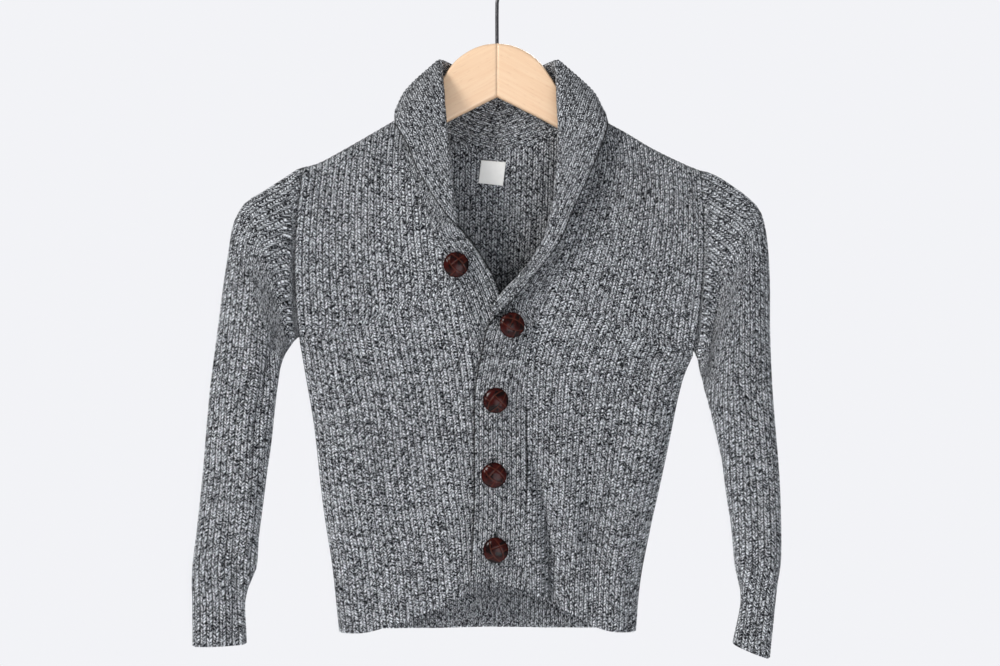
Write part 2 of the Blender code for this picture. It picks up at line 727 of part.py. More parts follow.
def hide_cutter(cutter):
    cutter.hide_render = True
    cutter.display_type = "WIRE"
    for home in list(cutter.users_collection):
        home.objects.unlink(cutter)
    collection("cutters").objects.link(cutter)


def bore_cutter():
    made = bpy.data.objects.get("bore")
    if made is None:
        length = (HOOK_DEPTH + 10.0) * MM
        centre = (0.0, 0.0, (CROWN_Z - HOOK_DEPTH - 0.3) * MM + length / 2)
        bpy.ops.mesh.primitive_cylinder_add(
            vertices=16, radius=HOOK_BORE / 2 * MM, depth=length, location=centre)
        made = bpy.context.object
        made.name = "bore"
        hide_cutter(made)
    return made


def hook():
    """The wire, from the wood up to its rounded end; the inside of its top is the origin."""
    ring = HOOK_INSIDE + WIRE / 2
    centre_z = -HOOK_INSIDE
    route = [(0.0, CROWN_Z - HOOK_DEPTH), (0.0, CROWN_Z)]
    route += [(0.0, -64.0), (0.6, -57.0), (4.5, -50.0), (11.0, -43.5)]
    for angle in range(-45, 211, 15):
        a = radians(angle)
        route.append((ring * cos(a), centre_z + ring * sin(a)))
    curve = bpy.data.curves.new("hook", "CURVE")
    curve.dimensions = "3D"
    curve.bevel_depth = WIRE / 2 * MM
    curve.bevel_resolution = 3
    curve.use_fill_caps = True
    line = curve.splines.new("POLY")
    line.points.add(len(route) - 1)
    for point, (x, z) in zip(line.points, route):
        point.co = (x * MM, 0.0, z * MM, 1.0)
    thing = bpy.data.objects.new("hook", curve)
    curve.materials.append(material(STEEL))
    collection("cardigan").objects.link(thing)
    return thing


# ---------------------------------------------------------------- buttons and label

def band_surface(side, x, z):
    """The y of the band's front face at (x, z), away from the collar's fold."""
    rise = OVERLAP_RISE if side == "left" else 0.0
    return front_y(x, z) - rise - WALL / 2


def button_profile(shank):
    """Half of the button in section, from the shank's foot round to the crown: radius, height."""
    rim = shank
    inset, lift = RIM_EDGE
    profile = [(SHANK_R, 0.0), (SHANK_R, rim), (BUTTON_R - RIM_ROUND, rim), (BUTTON_R - inset, rim + lift)]
    for angle in range(0, 90, 15):
        a = radians(angle)
        profile.append((BUTTON_R * cos(a), rim + RIM_ROUND + (BUTTON_H - RIM_ROUND) * sin(a)))
    return [(0.0, 0.0)] + profile + [(0.0, rim + BUTTON_H)]


def button(number, x, z, turn, slit_rise, under):
    foot = band_surface("right", x, z) - BAND_CLEAR
    rim = foot - BARE_SHANK
    if under:
        rim = band_surface("left", x, z) - BAND_CLEAR
        if turn:
            rim -= TILT_LIFT
    profile = button_profile(foot - rim)
    mesh = bpy.data.meshes.new(f"button_{number}")
    edges = [(k, k + 1) for k in range(len(profile) - 1)]
    mesh.from_pydata([Vector((r, 0, h)) * MM for r, h in profile], edges, [])
    thing = bpy.data.objects.new(f"button_{number}", mesh)
    collection("cardigan").objects.link(thing)
    mesh.materials.append(material(LEATHER))
    screw = thing.modifiers.new("turn", "SCREW")
    screw.steps = 20
    screw.render_steps = 20
    screw.use_merge_vertices = True
    screw.merge_threshold = 0.00001
    screw.use_normal_calculate = True
    thing.location = Vector((x, foot - (BAND_CLEAR if turn else 0.0), z)) * MM
    thing.rotation_euler = (pi / 2, 0.0, radians(turn))
    return thing


def slit_cutter(number, x, z, turn, slit_rise):
    """A buttonhole: an upright slot with round ends, through the left band only."""
    lean = sin(radians(turn))
    x += 2 * WALL * lean
    half = SLIT_LENGTH / 2
    radius = (SLIT_WIDTH + 2 * WALL * lean) / 2
    outline = []
    for end, first in ((half - radius, 0), (radius - half, 180)):
        for step in range(7):
            a = radians(first + step * 30)
            outline.append((radius * cos(a), end + radius * sin(a)))
    y = band_surface("left", x, z)
    ahead, behind = SLIT_REACH
    points = [(x + px, y + dy, z + pz + slit_rise) for dy in (-ahead, WALL + behind) for px, pz in outline]
    count = len(outline)
    faces = [(k, (k + 1) % count, (k + 1) % count + count, k + count) for k in range(count)]
    faces += [tuple(reversed(range(count))), tuple(range(count, 2 * count))]
    cutter = mesh_object(f"slit_{number}", points, faces, KNIT)
    outside_in(cutter)
    hide_cutter(cutter)
    return cutter


def label():
    rows, columns = 3, 3
    points = []
    for r in range(rows):
        for c in range(columns):
            top = mix(LABEL[0], LABEL[1], c / (columns - 1))
            low = mix(LABEL[3], LABEL[2], c / (columns - 1))
            x, z = mix(top, low, r / (rows - 1))
            points.append((x, back_y(x, z) - WALL / 2 - LABEL_THICK / 2 - LABEL_GAP, z))
    thing = mesh_object("neck_label", points, grid_faces(columns, rows, flip=False), TAPE)
    add_wall(thing, LABEL_THICK)
    return thing


def main():
    clear_scene()
    back_panel()
    front_panel("right", "front_right")
    front_panel("left", "front_left")
    sleeve("right", "sleeve_right")
    sleeve("left", "sleeve_left")
    collar_half("right", "collar_band_right")
    over = collar_half("left", "collar_band_left")
    for number, (x, z, turn, slit_rise, under) in enumerate(BUTTONS, start=1):
        button(number, x, z, turn, slit_rise, under)
        if under:
            cut(over, slit_cutter(number, x, z, turn, slit_rise))
    label()
    hanger_arm("right", "hanger_arm_right")
    hanger_arm("left", "hanger_arm_left")
    hook()


main()
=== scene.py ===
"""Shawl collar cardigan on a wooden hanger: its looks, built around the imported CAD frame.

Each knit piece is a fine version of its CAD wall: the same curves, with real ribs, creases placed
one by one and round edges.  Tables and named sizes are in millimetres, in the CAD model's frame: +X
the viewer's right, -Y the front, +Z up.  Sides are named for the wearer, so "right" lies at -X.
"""

from math import cos, hypot, pi, radians, sin

import bmesh
import bpy
import numpy as np
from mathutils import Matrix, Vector


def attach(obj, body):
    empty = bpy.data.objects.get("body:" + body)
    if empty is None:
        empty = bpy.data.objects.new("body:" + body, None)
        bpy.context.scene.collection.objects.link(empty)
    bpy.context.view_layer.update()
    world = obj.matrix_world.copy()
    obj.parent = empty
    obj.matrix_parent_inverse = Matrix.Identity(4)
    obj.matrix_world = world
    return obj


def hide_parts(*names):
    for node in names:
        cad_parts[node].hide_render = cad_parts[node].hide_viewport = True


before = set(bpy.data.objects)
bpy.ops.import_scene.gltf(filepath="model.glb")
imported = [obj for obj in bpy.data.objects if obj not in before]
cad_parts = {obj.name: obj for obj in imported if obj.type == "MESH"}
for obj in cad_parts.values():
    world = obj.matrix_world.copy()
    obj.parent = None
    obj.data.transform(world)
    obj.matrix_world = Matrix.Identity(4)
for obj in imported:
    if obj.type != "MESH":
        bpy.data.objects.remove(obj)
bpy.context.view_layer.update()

MM = 0.001
# Cloth
WALL = 2.5               # knit wall thickness
SEAM_GAP = 0.6           # clear gap between two panels at a seam
COLLAR_GAP = 1.2         # the same between the collar and the body, which meet at an angle
OVER_HANGER = 8.4        # radius that the shoulders take as they pass over the hanger arms
SIDE_ROUND = 26.0        # width in which the body rounds away to a side seam
SHOULDER_FALL = 95.0     # height in which the body reaches its full depth below the shoulder
BODY_HALF = 165.0        # half the width of the body at the underarms
FRONT_PLANE = (-29.0, 5.0)   # the fronts hang at this y in the middle, and this much less at the sides
BACK_PLANE = (9.5, 9.0)      # the same for the back
BODY_Y = -11.0           # the side seams hang here
BODY_DROP = (200.0, 150.0)   # the body leaves the arms' curve from this depth, over this height
UNDERARM_LIFT = 3.0      # the sleeve's seam passes this far above the top of the side seam
OVERLAP_RISE = 3.7       # the left front laps over the right one by this much
OVERLAP_START = 25.0     # it laps fully up to this far from the middle
OVERLAP_REACH = 70.0     # and is level with the right front again this much further out
OVERLAP_TOP = (180.0, 90.0)  # the lap begins at this depth and is full this much lower down
FOLD_RADIUS = 3.0        # middle of the cloth where the collar folds over, but no more than
FOLD_LEAST = 1.2         # this much
FOLD_SHARE = 0.22        # and this share of the fall
FALL_BOW = 0.085         # the folded collar bows out by this share of its fall
FALL_FULLEST = 0.62      # and most at this share of the way down to its free edge
SEAM_RUN = 1.5           # the collar leaves its seam in line with the panel for this far
SEAM_STEP = 3.0          # the panel's slope beside a seam is taken over this much

# Hanger
ARM_THICK = 11.0
ARM_REACH = 215.0
ARM_BOW = 20.0           # the tips of the arms come forward by this much
ARM_ROUND = 3.5
WIRE = 3.0
HOOK_INSIDE = 20.0       # inside radius of the hook
HOOK_BORE = 3.6
HOOK_DEPTH = 22.0        # how far the hook's shank goes down into the wood
CROWN_Z = -95.0          # top of the wood at the mitre joint

# Buttons
BUTTON_R = 10.8
BUTTON_H = 7.0
SHANK_R = 1.6
SLIT_WIDTH = 3.9
SLIT_LENGTH = 18.0
BAND_CLEAR = 0.5         # gap between a button's rim and the band that it holds
TILT_LIFT = 5.4          # the tilted button stands out this much more, on the collar's rise

# Side seams, from the hem up to the underarm: x, z
SIDE_SEAM = {
    "right": [(-133.5, -597.2), (-139.4, -539), (-146.2, -494), (-154.7, -424), (-161.5, -384),
              (-167.5, -348)],
    "left": [(117.0, -596.5), (121.2, -552), (128.4, -513), (143.7, -443), (156.4, -384), (166.5, -360)],
}
# Shoulder seams, from the armhole to the neck: x, z
SHOULDER = {
    "right": [(-164.5, -203), (-152, -199.5), (-132.6, -189), (-95.2, -167), (-75.7, -155.4)],
    "left": [(173, -206), (160.7, -201), (131.8, -186.5), (109.7, -173), (93.5, -164), (77.4, -155.4)],
}
ARMHOLE_BOW = 5.0        # the armhole seam curves out by this much between its ends
# Hems, from the side seam to the front band: x, z
HEM = {
    "right": [(-133.5, -597.2), (-110, -595.7), (-87.6, -588.9), (-58.7, -577.8), (-32.3, -565.9),
              (-19.6, -553)],
    "left": [(117.0, -596.5), (97.8, -594.8), (83.3, -590.6), (68.8, -582.1), (53.5, -574.4),
             (25.5, -559.1)],
}
BACK_HEM = [(-133.5, -597.2), (-60, -596), (30, -595.5), (117.0, -596.5)]

# Collar and front band, from the hem up to the shoulder seam.  The roll and the free edge rise
# in front of the right front's surface by their third number.
# flat rows: seam x, z | edge x, z, rise
# folded rows: seam x, z | roll x, z, rise | edge x, z, rise | the fall's turn from the front, degrees
FRONT_BAND = {
    "right": [
        ((-19.6, -553), (22, -546, 0)),
        ((-19.6, -495), (22, -495, 0)),
        ((-19.6, -434), (22, -434, 0)),
        ((-19.6, -383), (21.3, -383, 0)),
        ((-21.3, -349.2), (15.3, -347.5, 0)),
        ((-25.5, -327.9), (6.8, -322, 0)),
        ((-30.6, -314.5), (1.7, -307.5, 0)),
        ((-36.5, -299.5), (-5.1, -292.2, 0)),
        ((-45, -281), (-17.9, -271.8, 1)),
        ((-53.5, -262.5), (-29.8, -256.5, 3)),
        ((-59.5, -247.5), (-34.9, -240.4, 6), (-41.5, -243.8, 9), 0),
        ((-68, -229), (-37.4, -222, 8), (-53.6, -226.8, 10), 0),
        ((-78.2, -205), (-40, -194, 9), (-67.2, -203, 11), 0),
        ((-81.6, -187.7), (-43.4, -166.4, 9), (-76, -182, 11), 12),
        ((-79.9, -172.5), (-45.9, -138.4, 8), (-85, -166.5, 12), 40),
    ],
    "left": [
        ((25.5, -559.1), (-21.3, -546.4, 3.7)),
        ((25.5, -485.2), (-18.7, -485.2, 3.7)),
        ((25.5, -434.2), (-18.7, -434.2, 3.7)),
        ((25.5, -391.7), (-17.9, -391.7, 3.9)),
        ((27.2, -361.9), (-11.9, -357.7, 4.5)),
        ((31.5, -344.9), (-6.8, -337.3, 6)),
        ((36.6, -330.5), (-4.3, -324.5, 8), (1.7, -326.2, 11), 0),
        ((42.5, -315), (3.4, -310.9, 10), (11.9, -316, 13), 0),
        ((51, -291.5), (20.4, -293.1, 12), (34, -290.5, 15), 0),
        ((59.5, -266.5), (39.1, -265.9, 13), (51.9, -266.7, 16), 0),
        ((68, -241.5), (47.6, -236.1, 13), (64.6, -237, 16), 0),
        ((77.4, -212), (51, -204.7, 11), (78.2, -208.1, 15), 0),
        ((82.5, -187.7), (52.7, -174.9, 10), (88.4, -182.5, 14), 15),
        ((80.8, -171), (51.9, -147.4, 8), (93.5, -166.5, 13), 40),
    ],
}
# Collar behind the shoulder seam, to the middle of the back:
# seam x, z | roll x, y, z | edge x, y, z | the fall's turn from the front, degrees
BACK_COLLAR = {
    "right": [
        ((-75.7, -155.4), (-48.6, -3, -111.4), (-87, -5, -154), 80),
        ((-64, -161.5), (-44, 8, -110.2), (-83, 16.5, -161), 125),
        ((-44, -175.5), (-31.5, 15, -116), (-54, 24.5, -176), 155),
        ((-22, -183.5), (-15, 16.5, -123), (-26, 26.5, -184), 170),
        ((0, -186), (0, 17, -127), (0, 27, -187), 180),
    ],
    "left": [
        ((77.4, -155.4), (51.4, -3, -111.8), (91.5, -5, -155), 80),
        ((66, -161.5), (46, 8, -110.6), (86, 16.5, -161), 125),
        ((45, -175.5), (33.2, 15, -116), (55.3, 24.5, -176), 155),
        ((22, -183.5), (15, 16.5, -123), (26, 26.5, -184), 170),
        ((0, -186), (0, 17, -127), (0, 27, -187), 180),
    ],
}
# Where a flat section has its points, from the seam to the edge
BAND_FRACTIONS = (0.0, 0.035, 0.24, 0.45, 0.64, 0.78, 0.84, 0.89, 0.93, 0.96, 1.0)

# Sleeves, from just outside the armhole to the cuff:
# outer x, z | inner x, z | half depth | y | squareness
SLEEVE = {
    "right": [
        ((-181, -213), (-171.8, -347.4), 13, -14, 0.6),
        ((-198, -224), (-174.6, -350.6), 14, -16.5, 0.55),
        ((-213, -233.5), (-177.6, -355), 15, -18.5, 0.55),
        ((-222.5, -250), (-181.2, -361), 16, -19, 0.65),
        ((-227, -275), (-184.7, -371), 16.5, -19, 0.8),
        ((-231.5, -306.7), (-187.3, -386), 16.5, -18.5, 0.9),
        ((-236, -342), (-189.9, -408), 16, -18, 0.9),
        ((-243.5, -398), (-193.4, -440), 15.5, -18, 0.9),
        ((-248.7, -462), (-199, -479), 15, -18, 0.9),
        ((-253.6, -508), (-203.7, -516), 14, -18, 0.9),
        ((-257.6, -540), (-205.6, -543), 13, -18, 0.9),
        ((-258.2, -556), (-211, -557), 11.5, -18, 0.9),
        ((-257.6, -572), (-214.6, -571), 10.5, -18, 0.9),
        ((-257.4, -608.4), (-214.3, -606.5), 10.5, -18, 0.9),
    ],
    "left": [
        ((187.5, -211.5), (169.6, -360.6), 13, -14.5, 0.6),
        ((201, -221), (171.2, -365), 14, -17, 0.55),
        ((213, -230.5), (172.4, -371), 15, -18.5, 0.55),
        ((222, -241), (174, -379), 16, -19, 0.65),
        ((227, -262), (177, -390), 16.5, -19, 0.8),
        ((229.6, -300), (181.2, -404), 16.5, -18.5, 0.9),
        ((230.3, -338), (186.3, -424), 16, -18, 0.9),
        ((233, -395), (192.3, -450), 15.5, -18, 0.9),
        ((238, -465), (196.6, -482), 15, -18, 0.9),
        ((239.7, -507), (201, -513), 15, -18, 0.9),
        ((239.5, -538), (204.2, -543), 15, -18, 0.9),
        ((236.6, -556), (208.3, -560), 14.5, -18, 0.9),
        ((234.6, -573), (208.8, -574), 14, -18, 0.9),
        ((230.4, -618.6), (201.5, -606.7), 13.5, -18, 0.9),
    ],
}
SLEEVE_POINTS = 20

# Buttons on the right band, top to bottom:
# x, z, turn about Z in degrees, slit's rise, under the left band, turn of the plait in radians
BUTTONS = [
    (-34.5, -285.5, 0, 0, False, 2.3),
    (10.0, -336.5, 14, 1, True, 2.75),
    (-1.0, -400.0, 0, 1, True, 0.9),
    (-2.5, -463.0, 0, 1, True, 2.5),
    (-1.0, -526.0, 0, 6.5, True, 2.0),
]
# The label's corners, round from the wearer's upper right: x, z
LABEL = [(-13.6, -194.4), (7.7, -196.1), (5.1, -216.5), (-16.1, -214)]
LABEL_THICK = 0.8
LABEL_GRID = (21, 27)     # rows and columns of its points
LABEL_GAP = 0.35         # between the label and the back that it is sewn to

# Hanger arm: x, top z, bottom z
ARM = [
    (0, -95, -141), (12, -96.6, -147), (24, -101.5, -153), (36, -110.5, -159), (46, -124, -164.5),
    (60, -144.5, -172.5), (77, -162, -183), (97, -172.5, -196), (133, -193.8, -216), (160, -207.8, -231),
    (190, -223.5, -247), (204, -232, -255), (212, -239, -256), (215, -246, -252),
]

# The looks' own sizes
UNDERARM = 0.62          # share of a panel's height that is below the underarm
SHOULDER_STEPS = [0.4, 0.7, 0.9]   # the collar's extra sections, close to the shoulder seam
PER_WALE = 6             # points across one wale
ROW_STEP = 6.0           # between the rows of a panel or a sleeve
FINE_STEP = 1.0          # between the even places that a panel's rows are picked from
TOP_SHARE = 0.96         # above this share of its height a panel rounds over the arm,
TOP_ROWS = 14            # and has this many closer rows
COLLAR_STEP = 5.0        # between the collar's rows
COLLAR_COLUMNS = 150
SLEEVE_COLUMNS = 300
SLEEVE_TOP = (0.04, 5)   # in this top share of its length a sleeve has this many closer rings
# In how many places a curve is tried before it is divided evenly
SIDE_MARKS = 21          # a side seam
PATH_MARKS = 17          # a shoulder seam or a crease
ROW_MARKS = 241          # a panel's row
HEIGHT_MARKS = 801       # a panel's middle line
SECTION_MARKS = 201      # a section of the collar
RING_MARKS = 361         # a ring of a sleeve
FACING_ROWS = 8          # a panel's lowest rows, which show which way its normals point
WALES = {"back": 48, "front": 24}
COURSE = 2.6             # height of one row of stitches
COLLAR_WALE = 3.9        # width of one wale of the collar
SLEEVE_WALE = 5.5        # and of a sleeve
FRONT_WALE = 6.0         # and of the right front, whose wales run straight up into the collar
BACK_PITCH = 1.6         # wales on the inside of a panel to one on its outside
RIB_DEPTH = 1.15         # from a rib's crest to its furrow
RIB_SINK = 0.85          # how much of that lies below the CAD wall's own face
RIB_INSIDE = 0.7         # the ribs' depth on the inside, as a share of that outside
RIB_BLUNT = 0.8          # below 1 the ribs are blunt and the furrows narrow
SEAM_FADE = 2.2          # the ribs fade out over this much beside a seam
SEAM_DIP = 0.12          # and the cloth dips by this much into the seam
PANEL_REACH = 0.27       # a panel's rim closes this much of the gap at a seam
COLLAR_REACH = 0.85      # and the collar's rim this much of its wider one
FREE_BULGE = 1.1         # a free rim is rounded by this much
PANEL_SEAMS = (0, PANEL_REACH, PANEL_REACH, PANEL_REACH)   # hem, top, and the two sides
SLEEVE_SEAMS = (PANEL_REACH, 0, 0, 0)                      # armhole, cuff
COLLAR_SEAMS = (0, PANEL_REACH, COLLAR_REACH, 0)           # hem, centre back, neck, free edge
TURN = 0.7               # a sleeve's creases change from front to back while its normal turns this much
EASE = (6.0, 8.0)        # rows over which a piece's unevenness fades, at its first row and its last
SEEDS = {"front_right": 1.0, "front_left": 2.0, "back": 3.0, "sleeve_right": 4.0, "sleeve_left": 5.0}
FRONT, BACK = (0.0, -1.0, 0.0), (0.0, 1.0, 0.0)

# The baking map, of width and height 1: the face that shows, at its left, and the inner face
OUTER_SHARE = 0.62
INNER_SHARE = 0.30
MAP_HEIGHT = 0.97
MAP_EDGE = (0.02, 0.015)     # left free at the side and below
RIM_STRIP = 0.008        # width of the strips for the rims

# The marled yarn
STITCH_SLANT = 1.0       # rows that a leg of a stitch rises by across half a wale
PLIES = 1.0              # light and dark bands across a strand
PLY_TWIST = -0.15        # and along half a wale of it
PLY_WANDER = 2.6         # bands by which the fibres shift them
PLY_SHARE = 0.58         # of a spot's tone; the rest is each stitch's own
FIBRE_SCALE = 620.0      # to the metre
LAYERS = 40.0            # to the metre, so that the two faces of a sleeve don't match
# Tone of a spot, and its colour
YARN = (
    (0.38, (0.006, 0.007, 0.010)), (0.48, (0.060, 0.066, 0.079)),
    (0.54, (0.465, 0.49, 0.54)), (0.62, (0.92, 0.95, 0.995)),
)
HOLLOW = 0.12            # light left between two strands
FURROW_SHADE = 0.7       # light lost in the furrow between two wales

# The hard pieces
ARM_JOINT = 0.06         # between the two arms
ARM_RINGS = 110          # sections along an arm
BORE_FOOT = 0.3          # the bore goes this much deeper than the hook
BORE_PAST = 10.0         # and its cutter this far past the wood's top
HOOK_NECK = [(0.0, -64.0), (0.6, -57.0), (4.5, -50.0), (11.0, -43.5)]   # from the wood to the bend
HOOK_RINGS = 240         # sections along the wire
WIRE_SIDES = 20
WIRE_TIP = 0.4           # the wire's ends are rounded by this much
SHANK_SHOWS = 1.0        # shank that shows where a button isn't pushed through a slit
BUTTON_SIDES = 120
RIM_STEPS = ((2.2, 0.0), (1.0, 0.45), (0.25, 1.2))   # a button's underside: in from its edge, up
RIM_HEIGHT = 2.2         # from the underside to the button's widest place
CROWN_RINGS = 44
CROWN_REACH = 88.5       # degrees up from the rim to the last ring
CROWN_BLUNT = 0.94       # below 1 the crown is flatter than a ball
STRIP_EDGE = 0.075       # half the width of the mark between two strips, over the button's radius
STRIP_DEPTH = 0.3        # and how deep it is
SLIT_FRONT = 4.0         # a slit's cutter reaches this far in front of the left band
SLIT_BEHIND = 0.55       # and this far behind it

# The view, the floor and the light
CAMERA_LENS = 83.94
SENSOR_WIDTH = 36.0
CAMERA_PLACE = (2.55, -2000.0, -343.2)
FLOOR_Z = -1650.0
FLOOR_SIZE = 8.0         # metres
FLOOR_COLOUR = (0.86, 0.87, 0.89)
FLOOR_GLOW = 0.36
ROOM_LIGHT = 0.40        # strength of the light that the room sheds
ROOM_TINT = (0.95, 0.965, 1.0, 1.0)        # and its colour
ROOM_COLOUR = (0.89, 0.895, 0.925, 1.0)    # the colour of it that the camera sees
LAMP_AIM = (0.0, 0.0, -0.35)               # metres
# Lamps: place and size in metres, watts, colour
LAMPS = {
    "key": ((-1.85, -1.45, 0.95), (0.8, 0.8), 48.0, (1.0, 0.985, 0.96)),
    "fill": ((0.5, -2.1, -0.85), (1.2, 1.2), 14.0, (0.93, 0.96, 1.0)),
    "back": ((0.6, 2.0, 0.9), (1.4, 1.0), 34.0, (1.0, 1.0, 1.0)),
}

# Creases, as x, z, height (negative for a valley) and width along their length; a sleeve's front
# and its back have their own
CREASES = {
    "front_right": [
        [(-47, -455, 0, 9), (-50, -490, 1.6, 12), (-49, -535, 2.0, 14), (-54, -572, 0.6, 14)],
        [(-25, -440, 0, 6), (-25, -480, -1.6, 9), (-26, -535, -1.8, 9), (-30, -560, 0, 9)],
        [(-150, -330, 0, 7), (-130, -350, -4.2, 8), (-102, -385, -2.4, 10), (-80, -420, 0, 12)],
        [(-152, -365, 0, 8), (-132, -400, 1.8, 10), (-118, -450, 1.6, 12), (-112, -520, 0, 14)],
        [(-118, -500, 0, 9), (-110, -545, -2.0, 10), (-104, -588, -2.6, 12)],
        [(-82, -530, 0, 9), (-78, -560, 1.4, 10), (-76, -590, 2.2, 11)],
        [(-140, -225, 0, 9), (-120, -262, 1.6, 14), (-104, -305, 1.2, 16), (-96, -350, 0, 16)],
    ],
    "front_left": [
        [(24, -432, 0, 4), (32, -460, -6, 5), (40, -491, -10, 6), (44, -532, -13, 6.5),
         (46, -566, -14, 7)],
        [(40, -400, 0, 8), (54, -450, 3.2, 8), (62, -505, 4.2, 8), (68, -540, 3.6, 9),
         (84, -575, 1.5, 12)],
        [(77, -431, 0, 7), (80, -470, -2.2, 8), (83, -520, -2.8, 9), (86, -553, 0, 9)],
        [(108, -420, 0, 9), (102, -480, 2.2, 11), (100, -540, 2.8, 12), (98, -590, 2.2, 12)],
        [(150, -345, 0, 8), (134, -362, -4.2, 8), (108, -392, -2.6, 10), (88, -420, 0, 12)],
        [(152, -372, 0, 8), (136, -402, 2.0, 10), (126, -450, 1.4, 12), (120, -510, 0, 14)],
        [(118, -240, 0, 12), (106, -280, 1.6, 14), (84, -330, 1.3, 16), (66, -380, 0, 16)],
    ],
    "back": [
        [(-95, -230, 0, 12), (-84, -300, 2.2, 16), (-90, -400, 1.2, 18), (-100, -500, 2.6, 16),
         (-104, -592, 3.2, 14)],
        [(-60, -250, 0, 12), (-52, -340, -1.8, 14), (-46, -440, -2.4, 14), (-50, -540, -3.2, 14),
         (-52, -592, -3, 14)],
        [(-8, -235, 0, 14), (4, -320, 1.2, 18), (-4, -430, 2.2, 16), (-8, -520, 2.8, 15),
         (-10, -592, 2.6, 14)],
        [(72, -240, 0, 12), (60, -330, -2.0, 14), (58, -450, -2.2, 15), (44, -560, -3.0, 13),
         (42, -592, -3, 12)],
        [(104, -250, 0, 12), (96, -330, 1.8, 16), (92, -430, 2.6, 15), (88, -530, 2.2, 14),
         (84, -592, 2.6, 13)],
        [(-52, -214, 0, 9), (-30, -232, 1.6, 9), (6, -238, 2.0, 10), (38, -230, 1.4, 9),
         (56, -212, 0, 9)],
        [(-150, -335, 0, 9), (-128, -360, -2.4, 10), (-98, -392, 0, 12)],
        [(150, -345, 0, 9), (126, -372, -2.0, 10), (100, -410, 0, 12)],
    ],
    "sleeve_right_front": [
        [(-186, -338, 0, 4), (-189.6, -352, -5.5, 5), (-193.8, -373, -6, 5.5), (-199, -397, -5, 6),
         (-204, -424, -3.5, 6), (-207, -448, 0, 6)],
        [(-231, -440, 0, 6), (-234, -464, -2.4, 6), (-223, -523, -3.6, 6), (-221, -570, -3.2, 5.5),
         (-226, -602, -2, 5)],
        [(-213, -455, 0, 6), (-214, -485, 1.6, 7), (-216, -520, 0, 7)],
        [(-205, -250, 0, 9), (-212, -290, 2.0, 10), (-218, -335, 0, 10)],
        [(-238, -400, 0, 6), (-232, -418, -1.8, 6), (-224, -436, 0, 6)],
    ],
    "sleeve_right_back": [
        [(-196, -330, 0, 6), (-204, -365, -4.0, 7), (-214, -400, -3, 8), (-224, -428, 0, 8)],
        [(-240, -420, 0, 6), (-230, -455, -2.6, 7), (-222, -500, -3.2, 7), (-226, -548, 0, 7)],
        [(-212, -260, 0, 10), (-216, -310, 1.8, 11), (-224, -360, 0, 11)],
        [(-236, -540, 0, 6), (-234, -575, -2.2, 6), (-232, -604, -1.6, 6)],
    ],
    "sleeve_left_front": [
        [(183, -262, 0, 5), (188, -294, -8, 5.5), (183, -325, -10, 6), (178, -350, -9.5, 6),
         (178, -378, -4, 7)],
        [(206, -300, 0, 8), (203, -350, 2.2, 9), (201, -400, 1.4, 9), (204, -440, 0, 9)],
        [(224, -372, 0, 6), (216, -402, -2.6, 7), (210, -440, -2.8, 7), (214, -482, 0, 7)],
        [(226, -470, 0, 6), (220, -510, -2.4, 7), (221, -555, -2.8, 6), (218, -600, -1.6, 6)],
        [(208, -235, 0, 9), (214, -272, 1.8, 10), (218, -318, 0, 10)],
        [(206, -520, 0, 5), (212, -548, 1.8, 6), (215, -580, 0, 6)],
    ],
    "sleeve_left_back": [
        [(188, -290, 0, 6), (192, -330, -4.5, 7), (190, -372, -4.0, 8), (196, -410, 0, 8)],
        [(226, -400, 0, 6), (214, -440, -3.0, 7), (208, -480, -1.5, 7), (212, -510, 0, 7)],
        [(214, -250, 0, 10), (218, -300, 2.0, 11), (222, -350, 0, 11)],
        [(232, -540, 0, 6), (222, -570, -2.6, 6), (216, -602, -2.0, 6)],
    ],
}

# ---------------------------------------------------------------- curves and surfaces

def smoothstep(t):
    t = np.clip(t, 0.0, 1.0)
    return t * t * (3.0 - 2.0 * t)


def quarter_round(t):
    return np.sqrt(1.0 - (1.0 - np.clip(t, 0.0, 1.0)) ** 2)


def unit(v):
    return v / np.maximum(np.linalg.norm(v, axis=-1, keepdims=True), 1e-12)


def hermite(t):
    """The weights of a start, its slope, an end and its slope, on a smooth run from 0 to 1."""
    return 2 * t ** 3 - 3 * t ** 2 + 1, t ** 3 - 2 * t ** 2 + t, 3 * t ** 2 - 2 * t ** 3, t ** 3 - t ** 2


def chords(points):
    """The lengths of the steps from point to point."""
    return np.linalg.norm(np.diff(points, axis=0), axis=1)


def spline(points):
    """A smooth curve through the points, as a function of 0 to 1 along its chords."""
    points = np.array(points, float)
    runs = np.maximum(chords(points), 1e-9)
    marks = np.concatenate([[0.0], np.cumsum(runs)])
    last = len(points) - 1
    low = np.maximum(np.arange(last + 1) - 1, 0)
    high = np.minimum(np.arange(last + 1) + 1, last)
    slopes = (points[high] - points[low]) / (marks[high] - marks[low])[:, None]

    def at(t):
        s = np.clip(np.asarray(t, float), 0.0, 1.0) * marks[-1]
        i = np.clip(np.searchsorted(marks, s, side="left") - 1, 0, last - 1)
        run = runs[i]
        near, leave, far, arrive = hermite((s - marks[i]) / run)
        weights = (near, leave * run, far, arrive * run)
        parts = (points[i], slopes[i], points[i + 1], slopes[i + 1])
        return sum(weight[..., None] * part for weight, part in zip(weights, parts))

    return at


def nearest(x, z, path):
    """The distance from (x, z) to a path in the XZ plane, and how far along it the nearest point is."""
    path = np.asarray(path, float)[:, :2]
    best = np.full(np.shape(x), 1e9)
    along = np.zeros(np.shape(x))
    for number, (a, b) in enumerate(zip(path, path[1:])):
        dx, dz = b - a
        t = np.clip(((x - a[0]) * dx + (z - a[1]) * dz) / (dx * dx + dz * dz), 0.0, 1.0)
        away = np.hypot(x - a[0] - t * dx, z - a[1] - t * dz)
        closer = away < best
        best = np.where(closer, away, best)
        along = np.where(closer, (number + t) / (len(path) - 1), along)
    return best, along


